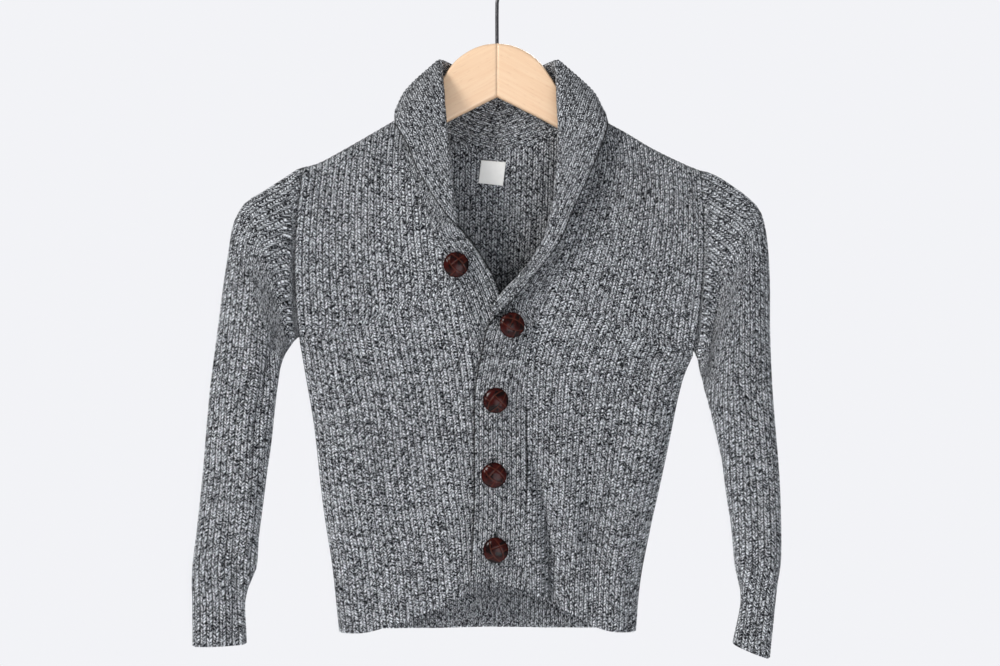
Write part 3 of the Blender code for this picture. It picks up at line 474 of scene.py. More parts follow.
def evenly(points, count):
    """The places of evenly spaced points, from 0 to 1 along the old points' numbers."""
    marks = np.concatenate([[0.0], np.cumsum(chords(points))])
    return np.interp(np.linspace(0.0, marks[-1], count), marks, np.linspace(0.0, 1.0, len(points)))


def crowded(count):
    """Numbers from 0 to 1 that lie closer together at both ends."""
    return (1.0 - np.cos(pi * np.linspace(0, 1, count))) / 2


def running(steps, axis):
    """The sum of the steps before each point, along one axis of a grid."""
    return np.concatenate([np.zeros_like(steps.take([0], axis)), np.cumsum(steps, axis)], axis)


def distance(grid, axis):
    """How far each point of a grid is along its column (axis 0) or its row (axis 1)."""
    return running(np.linalg.norm(np.diff(grid, axis=axis), axis=2), axis)


def corners(values):
    """The four values at the corners of each cell of a grid, in order round the cell."""
    return np.stack([values[:-1, :-1], values[:-1, 1:], values[1:, 1:], values[1:, :-1]], -1).reshape(-1, 4)


def perimeter(index):
    """The points round the edge of a grid, once round."""
    return np.concatenate([index[0, :-1], index[:-1, -1], index[-1, :0:-1], index[:0:-1, 0]])


# ---------------------------------------------------------------- the garment's surface

def outward(side):
    return -1.0 if side == "right" else 1.0


def arm_y(x):
    return -ARM_BOW * (x / ARM_REACH) ** 2


SIDE_CURVE = {side: spline(rows) for side, rows in SIDE_SEAM.items()}
SIDE_PATHS = {side: curve(np.linspace(0, 1, SIDE_MARKS)) for side, curve in SIDE_CURVE.items()}
SHOULDER_CURVE = {side: spline(rows) for side, rows in SHOULDER.items()}
SHOULDER_PATHS = {side: curve(np.linspace(0, 1, PATH_MARKS)) for side, curve in SHOULDER_CURVE.items()}


def middle_y(x, z):
    start, run = BODY_DROP
    fall = smoothstep((-z - start) / run)
    return arm_y(x) * (1.0 - fall) + BODY_Y * fall


def depth(x, z, plane):
    """How far a panel stands away from the plane of the side seams at (x, z)."""
    seam = np.minimum(*(nearest(x, z, path)[0] for path in SHOULDER_PATHS.values()))
    edge = np.minimum(*(nearest(x, z, path)[0] for path in SIDE_PATHS.values()))
    middle, bow = plane
    fullest = abs(middle - bow * (x / BODY_HALF) ** 2 * (1 if middle > 0 else -1) - middle_y(x, z))
    top = OVER_HANGER * quarter_round(seam / OVER_HANGER)
    top = top + (fullest - OVER_HANGER) * smoothstep(seam / SHOULDER_FALL)
    return top * quarter_round(edge / SIDE_ROUND)


def front_y(x, z):
    return middle_y(x, z) - SEAM_GAP / 2 - depth(x, z, FRONT_PLANE)


def back_y(x, z):
    return middle_y(x, z) + SEAM_GAP / 2 + depth(x, z, BACK_PLANE)


def panel_y(face, side, x, z):
    """The left front lies over the right band, up to where the fronts part at the collar."""
    if face == "back":
        return back_y(x, z)
    if side == "right":
        return front_y(x, z)
    start, run = OVERLAP_TOP
    near = 1.0 - smoothstep((x - OVERLAP_START) / OVERLAP_REACH)
    return front_y(x, z) - OVERLAP_RISE * near * smoothstep((-z - start) / run)


def armhole(side, t):
    """The armhole seam in the XZ plane, from the shoulder at 0 to the underarm at 1."""
    t = np.asarray(t, float)[..., None]
    top, bottom = np.array(SHOULDER[side][0]), np.array(SIDE_SEAM[side][-1])
    bow = np.array([outward(side) * ARMHOLE_BOW, 0.0])
    return top + (bottom - top) * t + bow * np.sin(pi * t)


def side_edge(side, v):
    """A panel's outer edge, from the hem at 0 over the underarm to the shoulder at 1."""
    v = np.asarray(v, float)
    low = SIDE_CURVE[side](v / UNDERARM)
    high = armhole(side, np.clip((1.0 - v) / (1.0 - UNDERARM), 0.0, 1.0))
    return np.where((v <= UNDERARM)[..., None], low, high)


def coons(u, v, left, right, low, high):
    """Points in the XZ plane between four edges, each a function of 0 to 1."""
    uu, vv = u[..., None], v[..., None]
    flat = (left(0) * (1 - uu) + right(0) * uu) * (1 - vv) + (left(1) * (1 - uu) + right(1) * uu) * vv
    return left(v) * (1 - uu) + right(v) * uu + low(u) * (1 - vv) + high(u) * vv - flat


def panel_grid(face, side, edges, wales):
    """A panel's middle surface: rows from the hem up, with the wales equally wide in each row."""
    def surface(u, v):
        flat = coons(u, v, *edges)
        x, z = flat[..., 0], flat[..., 1]
        return np.stack([x, panel_y(face, side, x, z), z], -1)

    fine, spread = crowded(ROW_MARKS), crowded(HEIGHT_MARKS)
    centre = surface(np.full(len(spread), 0.5), spread)
    length = chords(centre).sum()
    share = evenly(centre, int(length / FINE_STEP) + 1)
    v = np.interp(share, np.linspace(0, 1, len(spread)), spread)
    low = np.linspace(0, 1, int(length / ROW_STEP)) * TOP_SHARE
    high = np.linspace(TOP_SHARE, 1, TOP_ROWS)[1:]
    v = np.interp(np.concatenate([low, high]), np.linspace(0, 1, len(v)), v)
    columns = wales * PER_WALE + 1
    grid = []
    for level in v:
        row = surface(fine, np.full(len(fine), level))
        u = np.interp(evenly(row, columns), np.linspace(0, 1, len(fine)), fine)
        grid.append(surface(u, np.full(columns, level)))
    return np.array(grid)


def back_top():
    """The back's upper edge: a shoulder seam, the neck and the other shoulder seam, 0 to 1."""
    right, left = SHOULDER["right"], SHOULDER["left"]
    neck = [row[0] for row in BACK_COLLAR["right"]] + [row[0] for row in BACK_COLLAR["left"][-2::-1]]
    pieces = (spline(right), spline(neck), spline(left[::-1]))
    width = left[0][0] - right[0][0]
    starts = (0.0, (neck[0][0] - right[0][0]) / width, (neck[-1][0] - right[0][0]) / width, 1.0)

    def at(u):
        u = np.asarray(u, float)
        piece = np.where(u <= starts[1], 0, np.where(u <= starts[2], 1, 2))
        parts = []
        for k, curve in enumerate(pieces):
            here = curve((u - starts[k]) / (starts[k + 1] - starts[k]))
            parts.append((piece == k)[..., None] * here)
        return sum(parts)

    return at


def front_edges(side):
    seam = [row[0] for row in FRONT_BAND[side]] + [BACK_COLLAR[side][0][0]]
    return (lambda v: side_edge(side, v), spline(seam), spline(HEM[side]), spline(SHOULDER[side]))


def back_edges():
    return (lambda v: side_edge("right", v), lambda v: side_edge("left", v), spline(BACK_HEM), back_top())


# ---------------------------------------------------------------- collar and bands

def band_section(seam, inward, roll, edge, out):
    """The collar's section from its seam to its free edge: straight, or over its roll where it has one."""
    if roll is None:
        return np.array([seam + (edge - seam) * share for share in BAND_FRACTIONS])
    start = seam + inward * SEAM_RUN
    up = unit(roll - start)
    out = unit(out - up * (out @ up))
    radius = min(FOLD_RADIUS, FOLD_LEAST + FOLD_SHARE * np.linalg.norm(edge - roll))
    centre = roll - up * radius
    inner = centre - out * radius
    bent = [seam] + [start + (inner - start) * share for share in (0, 0.25, 0.5, 0.75, 1)]
    for angle in (60, 120, 180):
        a = radians(angle)
        bent.append(centre - out * radius * cos(a) + up * radius * sin(a))
    fall = edge - bent[-1]
    bent += [bent[-1] + fall * FALL_FULLEST + out * FALL_BOW * np.linalg.norm(fall), edge]
    return np.array(bent)


def seam_inward(face, side, path, k):
    """The way from a panel into the collar at path[k]: across the seam, in the panel's surface."""
    (ax, az), (bx, bz) = path[max(k - 1, 0)], path[min(k + 1, len(path) - 1)]
    length = hypot(bx - ax, bz - az)
    dx, dz = (bz - az) / length, -(bx - ax) / length
    if (dx * outward(side) > 0) if face == "front" else (dz < 0):
        dx, dz = -dx, -dz
    x, z = path[k]
    seam = np.array([x, panel_y(face, side, x, z), z])
    bx, bz = x - dx * SEAM_STEP, z - dz * SEAM_STEP
    return seam, unit(seam - np.array([bx, panel_y(face, side, bx, bz), bz]))


def collar_rows(side):
    """The collar's rows: seam, roll (None where it lies flat), edge and turn."""
    rows = []
    for seam, *lines in FRONT_BAND[side]:
        turn = lines.pop() if len(lines) == 3 else 0
        lifted = [np.array([x, front_y(x, z) - rise, z]) for x, z, rise in lines]
        rows.append((seam, lifted[0] if len(lifted) == 2 else None, lifted[-1], turn))
    for seam, roll, edge, turn in BACK_COLLAR[side]:
        rows.append((seam, np.array(roll, float), np.array(edge, float), turn))
    return rows


def chord_share(points, k, step):
    """Where a step on from points[k] lies, from 0 to 1 along the points' chords."""
    runs = [hypot(b[0] - a[0], b[1] - a[1]) for a, b in zip(points, points[1:])]
    here = sum(runs[:k]) + (runs[k] * step if k < len(runs) else 0.0)
    return here / sum(runs)


def through(points, low, t):
    """A smooth step of t from points[low] towards the next point."""
    if t == 0.0:
        return points[low]
    a, b = points[low], points[low + 1]
    before = points[max(low - 1, 0)]
    after = points[min(low + 2, len(points) - 1)]
    lead, follow = (b - before) * 0.5, (after - a) * 0.5
    run = np.linalg.norm(b - a)
    lead = lead * min(1.0, run / max(np.linalg.norm(lead), 1e-6))
    follow = follow * min(1.0, run / max(np.linalg.norm(follow), 1e-6))
    near, leave, far, arrive = hermite(t)
    return a * near + lead * leave + b * far + follow * arrive


def collar_stations(side):
    """Every section of one half of the collar, from the hem to the middle of the back."""
    seams, rolls, edges, turns = zip(*collar_rows(side))
    shoulder, last = len(FRONT_BAND[side]), len(seams) - 1
    steps = {shoulder - 1: SHOULDER_STEPS, shoulder: [1.0 - step for step in SHOULDER_STEPS[::-1]]}
    places = [(k, step) for k in range(last + 1) for step in [0.0] + steps.get(k, [])]
    halves = (("front", 0, seams[:shoulder + 1]), ("back", shoulder, seams[shoulder:]))
    seam_points = []
    for face, first, knots in halves:
        own = [(k - first, step) for k, step in places if (k < shoulder) == (face == "front")]
        path = [spline(knots)(chord_share(knots, k, step)) for k, step in own]
        if face == "front":
            path.append(knots[-1])
        seam_points += [seam_inward(face, side, path, number) for number in range(len(own))]
    stations = []
    for (k, step), (seam, inward) in zip(places, seam_points):
        if (k, step) == (shoulder, 0.0):
            x, z = seams[k]
            near = SHOULDER_PATHS[side][-2]
            seam = np.array([x, middle_y(x, z), z])
            inward = unit(np.array([x - near[0], 0.0, z - near[1]]))
        after = min(k + 1, last)
        turn = radians(turns[k] + (turns[after] - turns[k]) * step)
        out = np.array([outward(side) * sin(turn), -cos(turn), 0.0])
        roll, edge = through(rolls, k, step), through(edges, k, step)
        stations.append(band_section(seam + inward * COLLAR_GAP, inward, roll, edge, out))
    back_end = stations.pop()
    for reach in (SEAM_RUN, SEAM_GAP / 2):
        flat = back_end.copy()
        flat[:, 0] = outward(side) * reach
        stations.append(flat)
    return np.array(stations)


def collar_grid(side):
    """The collar's middle surface: rows along its length, columns from the seam to the free edge."""
    net = collar_stations(side)
    length = chords(net.mean(1)).sum()
    along = spline(net.reshape(len(net), -1))
    rows = along(np.linspace(0, 1, int(length / COLLAR_STEP) + 1)).reshape(-1, net.shape[1], 3)
    fine = np.linspace(0, 1, SECTION_MARKS)
    grid = []
    for row in rows:
        section = spline(row)
        u = np.interp(evenly(section(fine), COLLAR_COLUMNS), fine, fine)
        grid.append(section(u))
    return np.array(grid)


# ---------------------------------------------------------------- sleeves

def armhole_ring(side, gap, turns):
    t = (1.0 - np.cos(turns)) / 2
    flat = armhole(side, t)
    x, z = flat[..., 0], flat[..., 1]
    y = np.where(turns < pi, front_y(x, z), back_y(x, z))
    step = 2 * pi / SLEEVE_POINTS
    lift = UNDERARM_LIFT * np.clip(1.0 - abs(turns - pi) / step, 0.0, 1.0)
    return np.stack([x + outward(side) * gap, y, z + lift], -1)


def sleeve_ring(outer, inner, half_depth, y, squareness, turns):
    """One ring; a squareness below 1 makes it blunter, as where it passes over the arm."""
    t = ((1.0 + np.cos(turns)) / 2)[:, None]
    flat = np.array(inner) * (1 - t) + np.array(outer) * t
    bulge = np.abs(np.sin(turns)) ** squareness * half_depth
    return np.stack([flat[:, 0], y - np.where(turns < pi, bulge, -bulge), flat[:, 1]], -1)


def sleeve_grid(side):
    """The sleeve's middle surface: rings from the armhole to the cuff, each evenly divided."""
    turns = np.linspace(0, 2 * pi, RING_MARKS)
    rings = [armhole_ring(side, SEAM_GAP, turns), armhole_ring(side, SEAM_GAP + SEAM_RUN, turns)]
    rings += [sleeve_ring(*row, turns) for row in SLEEVE[side]]
    rings = np.array(rings)
    count = int(chords(rings.mean(1)).sum() / ROW_STEP) + 1
    top, closer = SLEEVE_TOP
    places = np.concatenate([np.linspace(0, top, closer)[:-1], np.linspace(top, 1, count)])
    smooth = spline(rings.reshape(len(rings), -1))(places).reshape(-1, len(turns), 3)
    marks = np.linspace(0, 1, len(turns))
    grid = []
    for ring in smooth:
        u = evenly(ring, SLEEVE_COLUMNS + 1)[:-1]
        grid.append(np.stack([np.interp(u, marks, ring[:, k]) for k in range(3)], -1))
    return np.array(grid)


# ---------------------------------------------------------------- meshes

def mesh_piece(name, points, faces, maps=None, smooth=True):
    """An object of points in millimetres, with any maps that it has."""
    mesh = bpy.data.meshes.new(name)
    mesh.from_pydata((np.array(points, float) * MM).tolist(), [], faces)
    for title, values in (maps or {}).items():
        layer = mesh.uv_layers.new(name=title)
        layer.uv.foreach_set("vector", values.astype(np.float32).ravel())
    mesh.polygons.foreach_set("use_smooth", np.full(len(mesh.polygons), smooth))
    mesh.update()
    thing = bpy.data.objects.new(name, mesh)
    bpy.context.scene.collection.objects.link(thing)
    return thing


def turned_out(thing):
    """A closed piece with its faces pointing out."""
    made = bmesh.new()
    made.from_mesh(thing.data)
    bmesh.ops.recalc_face_normals(made, faces=made.faces)
    made.to_mesh(thing.data)
    made.free()
    return thing


def plain_piece(name, points, faces, smooth=True):
    """A closed piece with no map."""
    return turned_out(mesh_piece(name, points, faces, smooth=smooth))


def ring_faces(rings, sides, first=0):
    """The faces of a tube whose rings follow each other from the point first on."""
    faces = []
    for ring in range(rings - 1):
        for k in range(sides):
            a = first + ring * sides + k
            b = first + ring * sides + (k + 1) % sides
            faces.append((a, b, b + sides, a + sides))
    return faces


def fan(first, sides, tip):
    """The faces from a ring that begins at the point first to one tip."""
    return [(first + k, first + (k + 1) % sides, tip) for k in range(sides)]


def cut_with(thing, cutter):
    """Cut a piece and throw the cutter away."""
    boolean = thing.modifiers.new("cut", "BOOLEAN")
    boolean.operation = "DIFFERENCE"
    boolean.solver = "EXACT"
    boolean.object = cutter
    bpy.context.view_layer.update()
    graph = bpy.context.evaluated_depsgraph_get()
    fresh = bpy.data.meshes.new_from_object(thing.evaluated_get(graph))
    thing.modifiers.clear()
    thing.data = fresh
    bpy.data.objects.remove(cutter, do_unlink=True)


# ---------------------------------------------------------------- knit walls

def outer_normals(grid, facing):
    """The normals on a grid's outer face, and 1 or -1 as they follow or oppose the grid's own winding.

    A panel is turned to its facing.  A sleeve has none: it closes on itself, and is turned away
    from its own middle.
    """
    if facing is None:
        across = np.roll(grid, -1, 1) - np.roll(grid, 1, 1)
    else:
        across = np.gradient(grid, axis=1)
    normal = unit(np.cross(across, np.gradient(grid, axis=0)))
    if facing is None:
        sign = np.sign((normal * (grid - grid.mean(1, keepdims=True))).sum())
    else:
        sign = np.sign((normal[:FACING_ROWS] @ np.array(facing)).sum())
    return normal * sign, sign


def creases(table, x, z):
    """How far the creases push the cloth out at (x, z); a valley pushes it in."""
    total = np.zeros(np.shape(x))
    for rows in table:
        curve = spline(rows)(np.linspace(0, 1, PATH_MARKS))
        away, along = nearest(x, z, curve)
        marks = np.linspace(0, 1, len(curve))
        height = np.interp(along, marks, curve[:, 2])
        width = np.interp(along, marks, curve[:, 3])
        total += height * np.exp(-(away / width) ** 2)
    return total


def ripple(x, z, seed):
    """Small unevenness, as in any hanging cloth."""
    wave = np.sin(x / 31 + 1.3 * seed + np.sin(z / 57 + seed)) * 0.35
    wave += np.sin(x / 17 - z / 71 + 2.1 * seed) * 0.18
    return wave + np.sin(z / 23 + x / 43 + 0.7 * seed) * 0.15


def creased(grid, facing, node):
    """A middle surface pushed along its own normals by its creases and by a small unevenness."""
    normal, _ = outer_normals(grid, facing)
    x, z = grid[..., 0], grid[..., 2]
    if facing is None:
        front = smoothstep((TURN / 2 - normal[..., 1]) / TURN)
        push = creases(CREASES[node + "_front"], x, z) * front
        push = push + creases(CREASES[node + "_back"], x, z) * (1 - front)
    else:
        push = creases(CREASES[node], x, z)
    row = np.arange(len(grid))[:, None]
    ease = smoothstep(row / EASE[0]) * smoothstep(row[::-1] / EASE[1])
    return grid + normal * (push + ripple(x, z, SEEDS[node]) * ease)[..., None]


def rib(wale):
    """The height of the knit's ribs: 1 along the middle of a wale and 0 in the furrow between two."""
    return np.abs(np.sin(pi * wale)) ** RIB_BLUNT


def on_map(spots, inside):
    """Spots of 0 to 1 across and along a piece, placed on the baking map."""
    edge, low = MAP_EDGE
    width, start = (INNER_SHARE, 1 - INNER_SHARE - edge) if inside else (OUTER_SHARE, edge)
    return spots * np.array([width, MAP_HEIGHT]) + np.array([start, low])


def rim_strips(spots):
    """The two strips of the baking map beside a rim, for its outer half and its inner half."""
    aside = np.where(spots == 0, -1, np.where(spots == 1, 1, 0)) * RIM_STRIP
    outer, inner = on_map(spots, False), on_map(spots, True)
    outer[:, 1:3] += aside[:, 1:3]
    inner[:, [0, 3]] += aside[:, [0, 3]]
    return [outer, inner]


def knit_wall(name, grid, wale, course, facing, seams, back_pitch=1.0):
    """A closed knit wall about a middle surface.

    wale and course count the stitches at each point.  seams says how far the rim reaches towards
    the next piece at each edge (first row, last row, first column, last column): there the ribs
    fade out and the rim is flat.  At 0 the edge is free, and its rim is round.
    """
    rows, columns = grid.shape[:2]
    total = rows * columns
    normal, sign = outer_normals(grid, facing)
    down, over = distance(grid, 0), distance(grid, 1)
    fade, dip = np.ones((rows, columns)), np.zeros((rows, columns))
    for reach, away in zip(seams, (down, down[-1:] - down, over, over[:, -1:] - over)):
        if reach:
            open_cloth = smoothstep(away / SEAM_FADE)
            fade = fade * open_cloth
            dip = np.maximum(dip, SEAM_DIP * (1 - open_cloth))
    step_down, step_over = unit(np.gradient(grid, axis=0)), unit(np.gradient(grid, axis=1))

    def outwards(reaches):
        """The grid's four edges moved out, in its own surface."""
        push = np.zeros(grid.shape)
        push[0] -= step_down[0] * reaches[0]
        push[-1] += step_down[-1] * reaches[1]
        if facing is not None:
            push[:, 0] -= step_over[:, 0] * reaches[2]
            push[:, -1] += step_over[:, -1] * reaches[3]
        return push

    def wrapped(values):
        """A sleeve's values with the first column again after the last."""
        return np.concatenate([values, values[:, :1]], 1) if facing is None else values

    middle = grid + outwards(seams)
    rim = (middle + outwards([0.0 if reach else FREE_BULGE for reach in seams])).reshape(-1, 3)
    half = WALL / 2 - dip
    outer = middle + normal * (half + (rib(wale) * RIB_DEPTH - RIB_SINK) * fade)[..., None]
    inside = rib(wale * back_pitch) * RIB_INSIDE * RIB_DEPTH - RIB_SINK
    inner = middle - normal * (half + inside * fade)[..., None]
    points = [outer.reshape(-1, 3), inner.reshape(-1, 3)]

    index = np.arange(total).reshape(rows, columns)
    round_columns = wrapped(index).shape[1]
    across, along = np.meshgrid(np.linspace(0, 1, round_columns), np.linspace(0, 1, rows))
    quads = corners(wrapped(index))
    stitches = [corners(wrapped(values)) for values in (wale, course)]
    spots = np.stack([corners(across), corners(along)], -1)
    faces = [quads, quads[:, ::-1] + total]
    maps = [np.stack(stitches, -1), np.stack([stitches[0] * back_pitch, stitches[1]], -1)[:, ::-1]]
    flats = [on_map(spots, False), on_map(spots, True)[:, ::-1]]

    # the rims, one closed loop round a sheet and two round a tube
    loops = [index[0], index[-1][::-1]] if facing is None else [perimeter(index)]
    stitch_at = np.stack([wale, course], -1).reshape(-1, 2)
    spot_at = np.stack([across[:, :columns], along[:, :columns]], -1).reshape(-1, 2)
    start = 2 * total
    for ring in loops:
        own = np.arange(len(ring)) + start
        after, own_after = np.roll(ring, -1), np.roll(own, -1)
        ends = np.stack([ring, ring, after, after], 1)
        points.append(rim[ring])
        faces.append(np.stack([ring, own, own_after, after], -1))
        faces.append(np.stack([own, ring + total, after + total, own_after], -1))
        maps += [stitch_at[ends]] * 2
        flats += rim_strips(spot_at[ends])
        start += len(ring)

    faces, maps, flats = (np.concatenate(parts) for parts in (faces, maps, flats))
    if sign < 0:
        faces, maps, flats = (values[:, ::-1] for values in (faces, maps, flats))
    thing = mesh_piece(name, np.concatenate(points), faces.tolist(), {"knit": maps, "OFBake": flats})
    return turned_out(thing)


def courses(grid):
    """The rows of stitches below each point."""
    return distance(grid, 0) / COURSE


def even_wales(grid, wales):
    """Wales counted across each row, however wide it is."""
    return np.tile(np.linspace(0, wales, grid.shape[1]), (len(grid), 1))


def sleeve_wales(grid):
    """Wales counted both ways round from the sleeve's outer line, so that they run along it."""
    ring = np.concatenate([grid, grid[:, :1]], 1)
    along = np.gradient(ring, axis=0)
    along /= np.linalg.norm(along, axis=2, keepdims=True) + 1e-9
    across = np.linalg.norm(np.cross(np.diff(ring, axis=1), along[:, 1:] + along[:, :-1]) / 2, axis=2)
    round_trip = running(across, 1)
    total, here = round_trip[:, -1:], round_trip[:, :-1]
    return np.minimum(here, total - here) / SLEEVE_WALE


# ---------------------------------------------------------------- materials

class Graph:
    """Short calls for building a node material."""

    def __init__(self, name):
        self.material = bpy.data.materials.new(name)
        self.material.use_nodes = True
        self.tree = self.material.node_tree
        self.shader = self.tree.nodes["Principled BSDF"]

    def node(self, kind, **inputs):
        made = self.tree.nodes.new("ShaderNode" + kind)
        for name, value in inputs.items():
            self.put(made.inputs[name], value)
        return made

    def put(self, socket, value):
        if isinstance(value, bpy.types.NodeSocket):
            self.tree.links.new(value, socket)
        else:
            socket.default_value = value

    def math(self, operation, *values):
        node = self.node("Math")
        node.operation = operation
        for socket, value in zip(node.inputs, values):
            self.put(socket, value)
        return node.outputs[0]

    def times(self, a, b):
        return self.math("MULTIPLY", a, b)

    def join(self, x, y, z):
        return self.node("CombineXYZ", X=x, Y=y, Z=z).outputs[0]

    def stretch(self, values, scales):
        """A vector of three values, each at its own scale."""
        return self.join(*(self.times(value, scale) for value, scale in zip(values, scales)))

    def split(self, vector):
        return self.node("SeparateXYZ", Vector=vector).outputs

    def noise(self, vector, scale, detail=2.0, rough=0.5):
        node = self.node("TexNoise", Vector=vector, Scale=scale, Detail=detail, Roughness=rough)
        return node.outputs["Fac"]

    def chance(self, *values):
        return self.node("TexWhiteNoise", Vector=self.join(*values)).outputs["Value"]

    def ramp(self, value, stops):
        node = self.node("ValToRGB", Fac=value)
        marks = node.color_ramp.elements
        while len(marks) < len(stops):
            marks.new(0.5)
        for mark, (place, colour) in zip(marks, stops):
            mark.position = place
            mark.color = (*colour, 1.0)
        return node.outputs[0]

    def blend(self, factor, a, b, way="MIX"):
        node = self.node("Mix")
        node.data_type = "RGBA"
        node.blend_type = way
        self.put(node.inputs[0], factor)
        for socket, value in ((node.inputs[6], a), (node.inputs[7], b)):
            self.put(socket, (*value, 1.0) if isinstance(value, tuple) else value)
        return node.outputs[2]

    def object_place(self):
        return self.node("TexCoord").outputs["Object"]

    def map(self, name):
        node = self.node("UVMap")
        node.uv_map = name
        return node.outputs[0]

    def bump(self, height, size, strength=1.0):
        node = self.node("Bump", Strength=strength, Distance=size * MM, Height=height)
        self.put(self.shader.inputs["Normal"], node.outputs[0])

    def finish(self, **values):
        for name, value in values.items():
            title = name.replace("_", " ").title().replace("Ior", "IOR")
            self.put(self.shader.inputs[title], value)
        return self.material


def knit_material():
    """Marled yarn in columns of V stitches: a light and a dark ply twisted together."""
    g = Graph("knit_marl")
    wale, course, _ = g.split(g.map("knit"))
    # the strands: a leg goes from 0 at the middle of a wale to 1 at its furrow
    leg = g.times(g.math("ABSOLUTE", g.math("SUBTRACT", g.math("FRACT", wale), 0.5)), 2.0)
    slanted = g.math("MULTIPLY_ADD", leg, STITCH_SLANT, course)
    strand = g.math("FLOOR", slanted)
    half_wale = g.math("FLOOR", g.times(wale, 2.0))
    across = g.math("MULTIPLY_ADD", g.math("FRACT", slanted), 2.0, -1.0)
    across = g.math("SUBTRACT", 1.0, g.times(across, across))
    beside = g.math("ABSOLUTE", g.math("MULTIPLY_ADD", leg, 2.0, -1.0))
    beside = g.math("SUBTRACT", 1.0, g.math("POWER", beside, 2.2))
    height = g.times(g.math("SQRT", across), g.math("MULTIPLY_ADD", beside, 0.7, 0.3))
    # the plies
    _, deep, _ = g.split(g.object_place())
    layer = g.math("FLOOR", g.times(deep, LAYERS))
    start = g.chance(half_wale, strand, layer)
    mixed = g.chance(strand, half_wale, layer)
    fibre = g.noise(g.object_place(), FIBRE_SCALE, 2.0, 0.7)
    turns = g.math("MULTIPLY_ADD", g.math("FRACT", slanted), PLIES, g.times(leg, PLY_TWIST))
    turns = g.math("ADD", g.math("ADD", turns, start), g.times(fibre, PLY_WANDER))
    ply = g.math("MULTIPLY_ADD", g.math("SINE", g.times(turns, 2 * pi)), 0.5, 0.5)
    yarn = g.ramp(g.math("MULTIPLY_ADD", ply, PLY_SHARE, g.times(mixed, 1.0 - PLY_SHARE)), YARN)
    # the shade between strands and in the furrows
    shade = g.math("MULTIPLY_ADD", height, 1.0 - HOLLOW, HOLLOW)
    furrow = g.math("MULTIPLY_ADD", g.math("POWER", leg, 5.0), -FURROW_SHADE, 1.0)
    shade = g.times(shade, furrow)
    colour = g.blend(1.0, yarn, g.join(shade, shade, shade), "MULTIPLY")
    g.bump(height, 1.5)
    return g.finish(base_color=colour, roughness=0.95, specular_ior_level=0.2, sheen_weight=0.03)


def wood_material():
    """Pale beech: fine grain along the arm, small dark flecks, satin lacquer."""
    g = Graph("wood_beech")
    x, y, z = g.split(g.object_place())
    level = g.math("ADD", z, g.times(g.math("ABSOLUTE", x), 0.55))
    grain = g.noise(g.stretch((x, y, level), (25.0, 120.0, 420.0)), 1.0, 4.0, 0.6)
    rings = g.noise(g.stretch((x, y, level), (6.0, 1.0, 60.0)), 1.0, 3.0)
    flecks = g.noise(g.stretch((x, y, level), (150.0, 0.0, 900.0)), 1.0, 1.0)
    base = g.ramp(grain, ((0.3, (0.82, 0.55, 0.35)), (0.7, (0.88, 0.64, 0.43))))
    base = g.blend(g.times(rings, 0.35), base, (0.84, 0.55, 0.34))
    base = g.blend(g.times(g.math("GREATER_THAN", flecks, 0.66), 0.3), base, (0.66, 0.40, 0.24))
    g.bump(grain, 0.15, 0.4)
    return g.finish(base_color=base, roughness=0.42, coat_weight=0.25, coat_roughness=0.25)


def leather_material():
    """Glossy dark leather, lighter where the plaited strips' edges are rubbed."""
    g = Graph("leather_plait")
    pores = g.noise(g.object_place(), 1900.0, 3.0)
    patch = g.noise(g.object_place(), 160.0, 2.0)
    colour = g.ramp(patch, ((0.38, (0.005, 0.0008, 0.0006)), (0.62, (0.036, 0.0022, 0.0013))))
    worn = g.node("Attribute")
    worn.attribute_name = "worn"
    colour = g.blend(g.times(worn.outputs["Fac"], 0.5), colour, (0.085, 0.019, 0.010))
    g.bump(pores, 0.12, 0.5)
    rough = g.math("MULTIPLY_ADD", pores, 0.10, 0.08)
    return g.finish(base_color=colour, roughness=rough, specular_ior_level=0.17)


def tape_material():
    """Off-white woven tape, with its warp and weft and a little soil."""
    g = Graph("label_weave")
    x, _, z = g.split(g.object_place())
    warp = g.math("SINE", g.times(x, 2 * pi / (0.42 * MM)))
    weft = g.math("SINE", g.times(z, 2 * pi / (0.55 * MM)))
    weave = g.math("MULTIPLY_ADD", g.times(warp, weft), 0.5, 0.5)
    soil = g.noise(g.object_place(), 220.0, 2.0)
    colour = g.ramp(soil, ((0.3, (0.94, 0.93, 0.90)), (0.7, (0.98, 0.97, 0.94))))
    colour = g.blend(g.times(weave, 0.2), colour, (0.82, 0.81, 0.78))
    g.bump(weave, 0.15, 0.6)
    return g.finish(base_color=colour, roughness=0.75, sheen_weight=0.3)


def wire_material():
    """Dark drawn steel, a little scratched."""
    g = Graph("metal_wire")
    scratch = g.noise(g.object_place(), 900.0, 3.0)
    colour = g.ramp(scratch, ((0.3, (0.07, 0.07, 0.075)), (0.7, (0.15, 0.145, 0.15))))
    rough = g.math("MULTIPLY_ADD", scratch, 0.2, 0.22)
    return g.finish(base_color=colour, roughness=rough, metallic=1.0)


def floor_material():
    """Plain pale paper, which glows a little so that it meets the pale background without a line."""
    g = Graph("floor_paper")
    mottle = g.noise(g.object_place(), 3.0, 2.0)
    darker = tuple(0.985 * part for part in FLOOR_COLOUR)
    shade = g.ramp(mottle, ((0.3, darker), (0.7, FLOOR_COLOUR)))
    white = (1.0, 1.0, 1.0, 1.0)
    return g.finish(base_color=shade, roughness=0.95, emission_color=white, emission_strength=FLOOR_GLOW)


# ---------------------------------------------------------------- hard pieces

